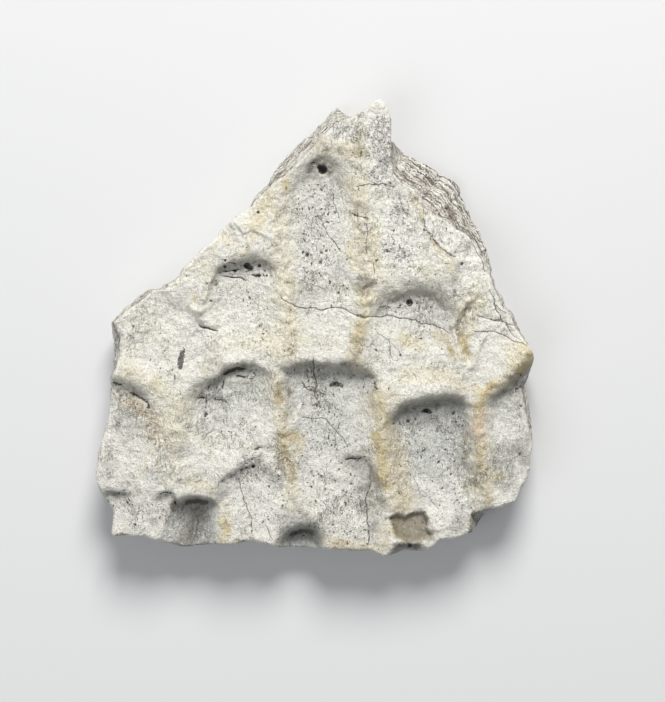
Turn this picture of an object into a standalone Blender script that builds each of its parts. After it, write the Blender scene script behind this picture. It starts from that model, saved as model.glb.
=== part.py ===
"""A broken plate of pitted amphibian armour (a scute), lying on its underside with the ornament up.

Metres, +Z up. The origin is under the middle of the plate's box, on the flat it rests on. +X is to
the right and +Y to the pointed top of the plate. The ornament is a set of scoops: each has an arched
headwall at its +Y end, a floor that climbs away to -Y, and blunt ribs to either side.
"""

import math

import bmesh
import bpy
import numpy as np

for leftover in list(bpy.data.objects):
    bpy.data.objects.remove(leftover, do_unlink=True)

# Driving dimensions, in metres
LENGTH = 0.0656          # along Y, the longest way
THICKNESS = 0.0075       # from the flat underside to the bone between the scoops
FOOT_LIFT = 0.0006       # the lower edge of the broken flank, above the flat
UNDERCUT_NORTH = 0.0008  # how far the flank leans in below its widest line
UNDERCUT_SOUTH = 0.0019
FLAT_INSET = 0.0030      # from the foot of the flank to the flat it rests on

# How fine the facets are: cells along one side of each wrapped grid
TOP_CELLS = 52
UNDER_CELLS = 26

# The tables below are in millimetres on a plate of this length. MM is one of those, in metres.
DRAWN_LENGTH = 65.6
MM = LENGTH / DRAWN_LENGTH

# The broken outline, clockwise from the left tip. Each point is x, y and the width of the sloping
# flank there, from the edge of the ornament out to the outline.
OUTLINE = [
    (-29.5, 0.6, 0.7), (-28.5, 2.1, 1.0), (-26.7, 3.6, 1.3), (-25.1, 5.0, 1.4), (-24.2, 5.5, 1.2),
    (-22.6, 5.6, 1.0), (-22.1, 6.2, 0.9), (-20.7, 6.7, 0.6), (-20.0, 7.3, 0.4), (-19.1, 8.6, 0.3),
    (-17.9, 9.8, 0.2), (-15.2, 12.3, 0.2), (-12.7, 14.9, 0.2), (-11.6, 15.95, 0.2), (-9.8, 17.0, 0.1),
    (-9.2, 18.4, 0.7), (-8.05, 19.6, 0.8), (-7.0, 20.5, 0.8), (-6.1, 22.3, 1.6), (-5.1, 24.1, 2.5),
    (-4.1, 25.2, 2.8), (-2.7, 26.5, 2.9), (-1.0, 27.9, 2.7), (0.0, 29.0, 2.9), (1.4, 30.05, 2.8),
    (2.3, 31.05, 3.1), (3.07, 31.4, 2.95), (3.9, 30.95, 1.9), (4.93, 30.3, 0.5), (6.1, 30.8, 0.2),
    (7.4, 31.4, 0.1), (8.5, 32.4, 0.1), (9.3, 32.7, 0.1), (9.97, 32.2, 0.1), (10.5, 31.1, 0.1),
    (10.9, 29.9, 0.1), (10.9, 26.95, 0.3), (11.8, 26.4, 2.5), (13.0, 25.5, 4.0), (14.9, 24.45, 4.6),
    (16.6, 23.6, 4.8), (18.0, 22.4, 4.9), (19.6, 21.6, 5.3), (20.6, 21.2, 5.6), (21.2, 20.3, 5.6),
    (21.2, 19.3, 5.0), (21.8, 17.9, 4.2), (22.7, 15.8, 3.2), (23.5, 14.6, 2.5), (24.2, 12.9, 1.7),
    (25.0, 10.5, 0.9), (25.4, 8.1, 0.6), (26.0, 6.0, 0.5), (27.3, 4.1, 1.0), (27.5, 3.1, 0.9),
    (28.5, 1.95, 0.9), (29.2, 0.3, 0.8), (30.2, -1.5, 0.6), (31.05, -3.3, 0.3), (31.4, -4.4, 0.2),
    (31.4, -5.35, 0.2), (30.9, -6.55, 0.2), (30.6, -7.65, 0.5), (30.3, -8.6, 0.9), (31.1, -12.4, 1.0),
    (31.3, -14.8, 0.7), (31.4, -17.0, 0.2), (31.0, -18.5, 0.1), (30.8, -20.15, 0.1), (30.3, -21.85, 0.1),
    (29.4, -23.55, 0.1), (28.9, -24.9, 0.1), (26.95, -25.75, 0.1), (25.7, -26.1, 0.2), (24.75, -26.5, 0.6),
    (24.4, -27.3, 1.05), (23.55, -28.4, 2.0), (22.6, -29.6, 0.3), (21.1, -30.1, 0.1), (19.65, -30.6, 0.1),
    (17.95, -30.6, 0.1), (17.2, -31.35, 0.1), (16.2, -31.95, 0.1), (14.8, -32.2, 0.1), (12.4, -32.3, 0.1),
    (10.9, -32.8, 0.1), (9.9, -32.9, 0.1), (8.7, -32.55, 0.1), (7.5, -32.1, 0.1), (4.6, -32.1, 0.1),
    (2.65, -31.95, 0.1), (0.0, -32.1, 0.1), (-1.3, -31.8, 0.1), (-3.3, -31.95, 0.1), (-5.0, -31.7, 0.1),
    (-7.4, -31.1, 0.1), (-9.3, -30.75, 0.1), (-11.3, -31.1, 0.1), (-15.2, -31.4, 0.1), (-19.1, -31.6, 0.1),
    (-20.5, -31.4, 0.1), (-21.7, -30.85, 0.1), (-24.7, -30.15, 0.1), (-27.8, -29.9, 0.1),
    (-29.3, -29.95, 0.1), (-29.2, -28.4, 0.1), (-29.15, -27.0, 0.1), (-29.65, -25.5, 0.1),
    (-30.5, -24.4, 0.1), (-31.2, -23.1, 0.1), (-31.5, -21.6, 0.1), (-31.4, -19.9, 0.1),
    (-31.1, -17.95, 0.1), (-30.8, -16.3, 0.1), (-30.1, -14.3, 0.1), (-29.8, -12.4, 0.1),
    (-29.5, -10.4, 0.1), (-29.6, -7.8, 0.3), (-29.3, -6.3, 0.6), (-29.2, -4.1, 1.2), (-29.3, -1.2, 1.3),
]

# The scoops. head is the crest of the headwall, turn the degrees by which the floor runs off -Y
# towards +X, sag how far the arch drops per half width, and wall the headwall's width in plan.
SCOOPS = {
    "crown": dict(head=(0.8, 24.6), turn=2, half=7.0, length=30, sag=6.5, depth=1.9, wall=3.2),
    "north_east": dict(head=(11.0, 24.0), turn=-6, half=5.4, length=20, sag=3.4, depth=1.2, wall=5.0),
    "north_west": dict(head=(-9.6, 12.2), turn=4, half=7.6, length=16, sag=5.4, depth=2.4, wall=2.7),
    "east": dict(head=(14.0, 6.2), turn=-8, half=8.8, length=16, sag=3.8, depth=2.2, wall=2.5),
    "centre": dict(head=(1.6, -4.4), turn=-2, half=9.2, length=30, sag=3.0, depth=2.6, wall=2.3),
    "south_east": dict(head=(16.4, -8.7), turn=7, half=8.6, length=20, sag=6.0, depth=3.0, wall=2.6),
    "far_east": dict(head=(28.2, -7.6), turn=30, half=7.0, length=14, sag=1.4, depth=2.2, wall=2.5),
    "mid_west": dict(head=(-11.2, -4.7), turn=17, half=8.8, length=15, sag=4.6, depth=2.3, wall=2.5),
    "west": dict(head=(-25.0, -9.2), turn=-36, half=7.6, length=15, sag=2.0, depth=1.6, wall=2.6),
    "west_bowl": dict(head=(-23.0, 3.6), turn=12, half=7.0, length=13, sag=4.0, depth=1.0, wall=5.0),
    "low_west": dict(head=(-9.4, -18.5), turn=17, half=7.0, length=16, sag=5.0, depth=2.0, wall=2.5),
    "ear": dict(head=(-17.0, -23.0), turn=2, half=4.6, length=12, sag=2.2, depth=3.0, wall=1.8),
    "little_ear": dict(head=(-21.6, -22.8), turn=8, half=2.8, length=8, sag=1.8, depth=1.5, wall=1.6),
    "corner": dict(head=(-27.6, -22.2), turn=18, half=3.8, length=9, sag=1.8, depth=1.1, wall=2.0),
    "south": dict(head=(-1.8, -27.0), turn=0, half=4.8, length=9, sag=2.4, depth=2.5, wall=1.9),
    "south_tip": dict(head=(13.4, -30.0), turn=0, half=3.8, length=7, sag=1.8, depth=1.6, wall=1.6),
    "fold": dict(head=(21.8, 3.9), turn=8, half=2.3, length=9.5, sag=1.8, depth=1.1, wall=2.4),
    "fold_east": dict(head=(26.0, 1.2), turn=-6, half=4.0, length=9, sag=3.0, depth=0.7, wall=4.0),
    "far_low": dict(head=(28.8, -17.0), turn=-16, half=4.0, length=10, sag=2.6, depth=0.9, wall=2.6),
}

# Ribs, lips above the headwalls, and sharp little folds. half is the half width, crest the line of the top.
RIBS = {
    "mid_rib": dict(height=0.4, half=2.0, crest=[(5.5, 25), (6.6, 20), (6.9, 14), (7.4, 9), (7.2, 6)]),
    "mid_knot": dict(height=0.7, half=1.1, crest=[(7.4, 4.2), (6.6, 2.4), (6.6, -1)]),
    "north_rib": dict(height=0.4, half=2.0, crest=[(-5, 20), (-5, 12), (-4.4, 6), (-4.2, 0), (-4.5, -4)]),
    "west_rib": dict(height=0.6, half=2.0, crest=[
        (-28, -6), (-23.5, -8), (-19.6, -12), (-20.8, -16), (-22.3, -20)]),
    "south_west_rib": dict(height=0.4, half=1.2, crest=[
        (-5.4, -8), (-4.8, -12), (-4.5, -16), (-3.4, -20), (-3, -25)]),
    "south_east_rib": dict(height=0.4, half=1.3, crest=[(9.3, -10), (9.4, -16), (9.9, -22), (11.5, -25)]),
    "east_rib": dict(height=0.5, half=1.1, crest=[(23.2, -10), (23.3, -14), (23.8, -20), (24.2, -25)]),
    "north_west_lip": dict(height=0.45, half=1.3, crest=[(-14.8, 8), (-12.6, 11.4), (-9.6, 13.2), (-6, 12)]),
    "east_lip": dict(height=0.3, half=1.3, crest=[(9, 5.8), (12, 6.8), (16, 6.8), (19, 5.4)]),
    "mid_west_lip": dict(height=0.35, half=1.2, crest=[(-17, -8.5), (-14, -5.8), (-11, -4.2), (-7.5, -4.2)]),
    "centre_lip": dict(height=0.35, half=1.3, crest=[
        (-7, -4.4), (-2, -3.9), (3, -3.6), (7, -4.8), (9.2, -8)]),
    "south_east_lip": dict(height=0.35, half=1.3, crest=[
        (9.6, -15), (10.2, -12), (12.5, -9.2), (16, -8), (23, -10)]),
    "knob": dict(height=1.0, half=2.0, crest=[(30.2, -4.8), (28.8, -5.4)]),
    "knob_arm": dict(height=0.7, half=1.1, crest=[(28.6, -5.8), (26, -7.8), (24, -9.6), (23, -11)]),
    "north_west_fold": dict(height=0.35, half=0.6, crest=[
        (-12.6, 10.8), (-14.6, 7.2), (-15.6, 4), (-16.3, 1.2)]),
    "bowl_fold": dict(height=0.4, half=0.6, crest=[(-18.9, 3.6), (-18, 1.6), (-16.6, 0.4), (-14.4, -0.4)]),
    "left_fold": dict(height=0.35, half=0.5, crest=[(20, -0.6), (20.6, -2.6), (21.4, -5.4)]),
    "right_fold": dict(height=0.3, half=0.6, crest=[(23.9, -0.6), (22.9, -3.6), (22.4, -6)]),
}

# Flakes broken off the surface: depth, how wide the broken edge is in plan, and the corners of the
# scar. A corner beyond the ornament's edge lets the scar run off it.
SCARS = {
    "south_flake": dict(depth=0.8, edge=0.9, corners=[
        (10.6, -27.3), (11.4, -26.4), (13.5, -26.8), (15.3, -26.2), (16.5, -28.3), (17.0, -30.0),
        (12.0, -30.4)]),
    "terrace": dict(depth=0.5, edge=1.2, corners=[
        (14.2, 19.6), (15.3, 16.6), (15.4, 14.2), (16.8, 12.3), (18.5, 10.7), (20.2, 9.6), (23.0, 9.4),
        (28.0, 10.0), (28.0, 26.0), (14.0, 26.0)]),
    "north_west_notch": dict(depth=0.5, edge=1.6, corners=[
        (-14.6, 12.6), (-12.0, 11.6), (-10.9, 13.0), (-11.6, 15.0), (-14.0, 18.0), (-18.0, 14.0)]),
}

# The broken flank, from the edge of the ornament to the outline: share of the way out, share of the
# way down. The laminated bone breaks in steps, so treads and risers take turns.
FLANK_STEPS = [(0.35, 0.10), (0.48, 0.42), (0.85, 0.58), (1.0, 1.0)]
WIDE_FLANK = 4.0         # a flank this wide slopes down almost to the surface
BELLY_STEEP = 0.70       # height of the widest line as a share of the edge's, on a steep flank
BELLY_WIDE = 0.25        # and on a wide one


def smooth(t):
    t = np.clip(t, 0, 1)
    return t * t * (3 - 2 * t)


def lumps(x, y, size, seed):
    """Smooth noise of about -1 to 1 whose lumps are size across."""
    lattice = 64             # squares along a side before the noise repeats
    turn = np.random.default_rng(seed).uniform(0, 2 * np.pi, (lattice, lattice))
    column, row = np.floor(x / size).astype(int), np.floor(y / size).astype(int)
    u, v = x / size - column, y / size - row

    def corner(right, up):
        lean = turn[(column + right) % lattice, (row + up) % lattice]
        return np.cos(lean) * (u - right) + np.sin(lean) * (v - up)

    low = corner(0, 0) + smooth(u) * (corner(1, 0) - corner(0, 0))
    high = corner(0, 1) + smooth(u) * (corner(1, 1) - corner(0, 1))
    return 1.5 * (low + smooth(v) * (high - low))


def distance_to_line(x, y, points):
    """Distance from each place to a line of straight runs."""
    nearest = np.full(np.shape(x), np.inf)
    for (x0, y0), (x1, y1) in zip(points, points[1:]):
        run, rise = x1 - x0, y1 - y0
        share = np.clip(((x - x0) * run + (y - y0) * rise) / (run * run + rise * rise), 0, 1)
        nearest = np.minimum(nearest, np.hypot(x - x0 - share * run, y - y0 - share * rise))
    return nearest


def depth_inside(x, y, corners):
    """How far a place is inside a polygon, and 0 outside it."""
    crossings = np.zeros(np.shape(x), int)
    for (x0, y0), (x1, y1) in zip(corners, corners[1:] + corners[:1]):
        if y0 == y1:
            continue
        crossings += ((y0 > y) != (y1 > y)) & (x < x0 + (y - y0) * (x1 - x0) / (y1 - y0))
    return np.where(crossings % 2 == 1, distance_to_line(x, y, corners + corners[:1]), 0)


def scoop(x, y, head, turn, half, length, sag, depth, wall):
    """Depth of one scoop below the bone around it."""
    lean = math.radians(turn)
    dx, dy = x - head[0], y - head[1]
    along = dx * math.sin(lean) - dy * math.cos(lean)
    across = np.abs(dx * math.cos(lean) + dy * math.sin(lean)) / half
    headwall = smooth((along - sag * across ** 2) / wall)
    trough = smooth(1.15 * (1 - across))
    climb = 1 - np.clip(along / length, 0, 1) ** 1.7
    return depth * headwall * trough * climb


def ornament(x, y):
    """Height of the pitted face. The noise bends the drawn forms and roughens the bone."""
    bent_x = x + 0.7 * lumps(x, y, 7.0, 11) + 0.25 * lumps(x, y, 2.6, 12)
    bent_y = y + 0.7 * lumps(x, y, 7.0, 13) + 0.25 * lumps(x, y, 2.6, 14)
    cubes = sum(scoop(bent_x, bent_y, **form) ** 3 for form in SCOOPS.values())
    height = THICKNESS / MM - np.cbrt(cubes)
    for rib in RIBS.values():
        off_crest = distance_to_line(bent_x, bent_y, rib["crest"]) / rib["half"]
        height = height + rib["height"] * np.exp(-off_crest ** 2)
    for scar in SCARS.values():
        past_edge = depth_inside(bent_x, bent_y, scar["corners"]) / scar["edge"]
        height = height - scar["depth"] * smooth(past_edge)
    return height + 0.22 * lumps(x, y, 5.0, 21) + 0.10 * lumps(x, y, 2.2, 22)


# The outline in polar form: every way out from the middle meets it once.
corner_x, corner_y, corner_flank = np.array(OUTLINE).T
corner_turn = np.arctan2(corner_y, corner_x)
corner_reach = np.hypot(corner_x, corner_y)


def outline_reach(turn):
    return np.interp(turn, corner_turn, corner_reach, period=2 * np.pi)


def flank_width(turn):
    return np.interp(turn, corner_turn, corner_flank, period=2 * np.pi)


def undercut(turn):
    southward = (1 - np.sin(turn)) / 2
    return (UNDERCUT_NORTH + (UNDERCUT_SOUTH - UNDERCUT_NORTH) * southward) / MM


def places(points):
    return np.array([point.co for point in points]).T


def put(points, x, y, z):
    for point, *place in zip(points, x, y, z):
        point.co = place


def wrapped_grid(shell, cells, reach, height):
    """A square grid whose nested squares are drawn out into rings of the given reach."""
    points = bmesh.ops.create_grid(shell, x_segments=cells, y_segments=cells, size=1)["verts"]
    across, up, _ = places(points)
    ring = np.maximum(np.abs(across), np.abs(up))
    sideways = np.abs(across) > np.abs(up)
    minor = np.where(sideways, up, across) / np.maximum(ring, 1e-9)
    turn = np.where(sideways,
                    np.where(across > 0, 0, np.pi) + np.sign(across) * minor * np.pi / 4,
                    np.where(up > 0, 0.5, -0.5) * np.pi - np.sign(up) * minor * np.pi / 4)
    x, y = ring * reach(turn) * np.cos(turn), ring * reach(turn) * np.sin(turn)
    put(points, x, y, height(x, y))
    return points


def extruded_ring(shell, edges, reach, height):
    """Extrude a closed run of edges and set the new ring's reach and height. Both read the ring's turn."""
    made = bmesh.ops.extrude_edge_only(shell, edges=edges)["geom"]
    points = [item for item in made if isinstance(item, bmesh.types.BMVert)]
    x, y, _ = places(points)
    turn = np.arctan2(y, x)
    put(points, reach(turn) * np.cos(turn), reach(turn) * np.sin(turn), height(turn))
    return [item for item in made if isinstance(item, bmesh.types.BMEdge)]


def rim_reach(turn):
    return outline_reach(turn) - flank_width(turn)


def rim_height(turn):
    return ornament(rim_reach(turn) * np.cos(turn), rim_reach(turn) * np.sin(turn))


def belly_height(turn):
    wide = smooth(flank_width(turn) / WIDE_FLANK)
    return rim_height(turn) * (BELLY_STEEP + (BELLY_WIDE - BELLY_STEEP) * wide)


def foot_reach(turn):
    return outline_reach(turn) - undercut(turn)


def boundary(points):
    return list({edge for point in points for edge in point.link_edges if edge.is_boundary})


def plate():
    """The closed body: pitted face, stepped flank, undercut and flat underside."""
    shell = bmesh.new()
    edges = boundary(wrapped_grid(shell, TOP_CELLS, rim_reach, ornament))
    for out, down in FLANK_STEPS:
        edges = extruded_ring(
            shell, edges,
            lambda turn: rim_reach(turn) + out * flank_width(turn),
            lambda turn: rim_height(turn) + down * (belly_height(turn) - rim_height(turn)))
    lift = FOOT_LIFT / MM
    edges = extruded_ring(
        shell, edges,
        lambda turn: outline_reach(turn) - 0.3 * undercut(turn),
        lambda turn: lift + 0.45 * (belly_height(turn) - lift))
    edges = extruded_ring(shell, edges, foot_reach, lambda turn: np.full(turn.shape, lift))
    flat = wrapped_grid(
        shell, UNDER_CELLS,
        lambda turn: foot_reach(turn) - FLAT_INSET / MM,
        lambda x, y: np.zeros(x.shape))
    bmesh.ops.bridge_loops(shell, edges=edges + boundary(flat))
    bmesh.ops.triangulate(shell, faces=shell.faces[:], quad_method="BEAUTY", ngon_method="BEAUTY")
    bmesh.ops.recalc_face_normals(shell, faces=shell.faces[:])
    bmesh.ops.scale(shell, vec=(MM, MM, MM), verts=shell.verts[:])
    x, y, _ = places(shell.verts)
    middle = ((x.min() + x.max()) / 2, (y.min() + y.max()) / 2, 0)
    bmesh.ops.translate(shell, vec=[-way for way in middle], verts=shell.verts[:])
    mesh = bpy.data.meshes.new("scute")
    shell.to_mesh(mesh)
    shell.free()
    mesh.shade_smooth()
    mesh.set_sharp_from_angle(angle=math.radians(50))
    return mesh


def fossil_bone():
    bone = bpy.data.materials.new("fossil_bone")
    bone.use_nodes = True
    surface = bone.node_tree.nodes["Principled BSDF"]
    surface.inputs["Base Color"].default_value = (0.66, 0.62, 0.54, 1)
    surface.inputs["Roughness"].default_value = 0.7
    surface.inputs["Metallic"].default_value = 0
    return bone


scute = bpy.data.objects.new("scute", plate())
scute.data.materials.append(fossil_bone())
bpy.context.scene.collection.objects.link(scute)
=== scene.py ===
import math

import bmesh
import bpy
import numpy as np
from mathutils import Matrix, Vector


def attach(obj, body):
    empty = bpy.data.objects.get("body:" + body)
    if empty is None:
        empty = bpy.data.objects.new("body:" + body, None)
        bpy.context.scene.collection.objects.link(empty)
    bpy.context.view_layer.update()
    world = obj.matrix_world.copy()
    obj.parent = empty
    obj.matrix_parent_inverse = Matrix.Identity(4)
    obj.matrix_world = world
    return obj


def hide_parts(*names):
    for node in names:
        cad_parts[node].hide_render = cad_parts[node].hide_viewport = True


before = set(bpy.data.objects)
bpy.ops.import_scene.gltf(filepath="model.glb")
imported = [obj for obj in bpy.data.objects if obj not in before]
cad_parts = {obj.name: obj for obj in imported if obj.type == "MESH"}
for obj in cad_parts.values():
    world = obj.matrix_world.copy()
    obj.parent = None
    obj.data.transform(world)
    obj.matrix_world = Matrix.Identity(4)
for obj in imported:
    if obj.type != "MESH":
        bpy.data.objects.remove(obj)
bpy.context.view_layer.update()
mm = 0.001


def addObject(name, data):
    thing = bpy.data.objects.new(name, data)
    bpy.context.scene.collection.objects.link(thing)
    return thing


# the view: a camera straight above, a soft light from the plate's pointed end, a pale floor

view = {
    "width": 665, "height": 702,       # pixels
    "pixelsPerMm": 7.0,                # on the ornament's own level
    "middle": (315.15, 327.7),         # where the middle of the plate falls
    "distance": 0.32,                  # lens to ornament
    "level": 0.007,                    # height of the ornament
    "sensor": 36,
}


def addCamera():
    camera = bpy.data.cameras.new("camera")
    camera.sensor_width = view["sensor"]
    reach = view["height"] / view["pixelsPerMm"] * mm
    camera.lens = camera.sensor_width * view["distance"] / reach
    across = (view["width"] / 2 - view["middle"][0]) / view["pixelsPerMm"] * mm
    up = (view["middle"][1] - view["height"] / 2) / view["pixelsPerMm"] * mm
    holder = addObject("camera", camera)
    holder.location = (across, up, view["distance"] + view["level"])
    bpy.context.scene.camera = holder
    print("camera ready")


lights = {
    "key": {"place": (0.06, 0.46, 0.40), "size": 0.30, "watts": 4.9, "colour": (1.0, 0.985, 0.96)},
    "fill": {"place": (-0.35, -0.30, 0.55), "size": 0.60, "watts": 1.5, "colour": (0.95, 0.97, 1.0)},
}
sky = {"colour": (0.95, 0.97, 1.0), "strength": 0.25}
floorLook = {"half": 0.9, "colour": (0.66, 0.665, 0.67), "roughness": 0.85}


def addLights():
    for name, look in lights.items():
        lamp = bpy.data.lights.new(name, "AREA")
        lamp.shape = "DISK"
        lamp.size = look["size"]
        lamp.energy = look["watts"]
        lamp.color = look["colour"]
        holder = addObject(name, lamp)
        holder.location = look["place"]
        holder.rotation_euler = (-Vector(look["place"])).to_track_quat("-Z", "Y").to_euler()
    world = bpy.data.worlds.new("studio")
    world.use_nodes = True
    world.node_tree.nodes["Background"].inputs["Color"].default_value = (*sky["colour"], 1)
    world.node_tree.nodes["Background"].inputs["Strength"].default_value = sky["strength"]
    bpy.context.scene.world = world
    bpy.context.scene.view_settings.view_transform = "Standard"
    print("lights ready")


def addFloor():
    shell = bmesh.new()
    bmesh.ops.create_grid(shell, x_segments=1, y_segments=1, size=floorLook["half"])
    mesh = bpy.data.meshes.new("floor")
    shell.to_mesh(mesh)
    shell.free()
    paint = bpy.data.materials.new("floorPaint")
    paint.use_nodes = True
    surface = paint.node_tree.nodes["Principled BSDF"]
    surface.inputs["Base Color"].default_value = (*floorLook["colour"], 1)
    surface.inputs["Roughness"].default_value = floorLook["roughness"]
    mesh.materials.append(paint)
    addObject("floor", mesh)
    print("floor ready")


# the plate's forms, in millimetres as drawn: x to the right, y to the pointed end

body = {
    "thickness": 7.5,             # underside to the bone between the scoops
    "trim": 0.12,                 # off the outline all round, for its ragged edge
    "wear": (0.30, 0.45),         # depth and width of the wear just inside the edge
    "leaves": 6,                  # broken layers down a flank
    "leafRise": 0.4,              # share of a layer that its edge takes
    "leafShare": 0.8,             # how much of the slope goes into steps
    "roughness": 0.16,            # of the flank, inwards
    "slant": (1.3, -1.1),         # of the flank's lumps, across and along for each step down
    "footLift": 0.6,              # the lower edge of the flank, above the floor
    "undercut": (0.8, 1.9),       # how far the flank leans in below its widest line, north and south
    "flatInset": 3.0,             # from the flank's foot to the worn flat it rests on
    "underInset": 0.5,            # and on to the underside's own grid
    "underLift": 0.35,            # greatest hollow of the underside
    "wideFlank": 4.0,             # a flank this wide slopes down almost to the floor
    "belly": (0.80, 0.25),        # height of the widest line over the edge's, on steep and wide flanks
    "topCells": 260,              # cells along one side of the wrapped grids
    "underCells": 60,
    "flankRings": 13, "footRings": 5, "turnRings": 2,
}

# corners of the broken outline, clockwise from the left tip: x, y and the width of the sloping flank
outline = [
    (-29.5, 0.6, 0.7), (-28.5, 2.1, 1), (-26.7, 3.6, 1.3), (-25.1, 5, 1.4), (-24.2, 5.5, 1.2),
    (-22.6, 5.6, 1), (-22.1, 6.2, 0.9), (-20.7, 6.7, 0.6), (-20, 7.3, 0.4), (-19.1, 8.6, 0.3),
    (-17.9, 9.8, 0.2), (-15.2, 12.3, 0.2), (-12.7, 14.9, 0.2), (-11.6, 15.95, 0.2), (-9.8, 17, 0.1),
    (-9.2, 18.4, 0.7), (-8.05, 19.6, 0.8), (-7, 20.5, 0.8), (-6.1, 22.3, 1.6), (-5.1, 24.1, 2.5),
    (-4.1, 25.2, 2.8), (-2.7, 26.5, 2.9), (-1, 27.9, 2.7), (0, 29, 2.9), (1.4, 30.3, 2.8),
    (2.3, 31.5, 3.1), (3.1, 32, 3), (3.9, 31.3, 1.9), (4.93, 30.3, 0.5), (6.1, 30.8, 0.2),
    (7.4, 31.4, 0.1), (8.5, 32.4, 0.1), (9.3, 32.7, 0.1), (9.97, 32.2, 0.1), (10.5, 31.1, 0.1),
    (10.9, 29.9, 0.1), (10.9, 26.95, 0.3), (11.8, 26.4, 2.5), (13, 25.5, 4), (14.9, 24.45, 4.6),
    (16.6, 23.6, 4.8), (18, 22.4, 4.9), (19.6, 21.6, 5.3), (20.6, 21.2, 5.6), (21.2, 20.3, 5.6),
    (21.2, 19.3, 5), (21.8, 17.9, 4.2), (22.7, 15.8, 3.2), (23.5, 14.6, 2.5), (24.2, 12.9, 1.7),
    (25, 10.5, 0.9), (25.4, 8.1, 0.6), (26, 6, 0.5), (27.3, 4.1, 1), (27.5, 3.1, 0.9),
    (28.5, 1.95, 0.9), (29.2, 0.3, 0.8), (30.2, -1.5, 0.6), (31.05, -3.3, 0.3), (31.4, -4.4, 0.2),
    (31.4, -5.35, 0.2), (30.9, -6.55, 0.2), (30.6, -7.65, 0.5), (30.3, -8.6, 0.9), (31.1, -12.4, 1),
    (31.3, -14.8, 0.7), (31.4, -17, 0.2), (31, -18.5, 0.1), (30.8, -20.15, 0.1), (30.3, -21.85, 0.1),
    (29.4, -23.55, 0.1), (28.9, -24.9, 0.1), (26.95, -25.75, 0.1), (25.7, -26.1, 0.2),
    (24.75, -26.5, 0.6), (24.4, -27.3, 1.05), (23.55, -28.4, 2), (22.6, -29.6, 0.3), (21.1, -30.1, 0.1),
    (19.65, -30.6, 0.1), (17.95, -30.6, 0.1), (17.2, -31.35, 0.1), (16.2, -31.95, 0.1),
    (14.8, -32.2, 0.1), (12.4, -32.3, 0.1), (10.9, -32.8, 0.1), (9.9, -32.9, 0.1), (8.7, -32.55, 0.1),
    (7.5, -32.1, 0.1), (4.6, -32.1, 0.1), (2.65, -31.95, 0.1), (0, -32.1, 0.1), (-1.3, -31.8, 0.1),
    (-3.3, -31.95, 0.1), (-5, -31.7, 0.1), (-7.4, -31.1, 0.1), (-9.3, -30.75, 0.1), (-11.3, -31.1, 0.1),
    (-15.2, -31.4, 0.1), (-19.1, -31.6, 0.1), (-20.5, -31.4, 0.1), (-21.7, -30.85, 0.1),
    (-24.7, -30.15, 0.1), (-27.8, -29.9, 0.1), (-29.3, -29.95, 0.1), (-29.2, -28.4, 0.1),
    (-29.15, -27, 0.1), (-29.65, -25.5, 0.1), (-30.5, -24.4, 0.1), (-31.2, -23.1, 0.1),
    (-31.5, -21.6, 0.1), (-31.4, -19.9, 0.1), (-31.1, -17.95, 0.1), (-30.8, -16.3, 0.1),
    (-30.1, -14.3, 0.1), (-29.8, -12.4, 0.1), (-29.5, -10.4, 0.1), (-29.6, -7.8, 0.3),
    (-29.3, -6.3, 0.6), (-29.2, -4.1, 1.2), (-29.3, -1.2, 1.3),
]

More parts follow.
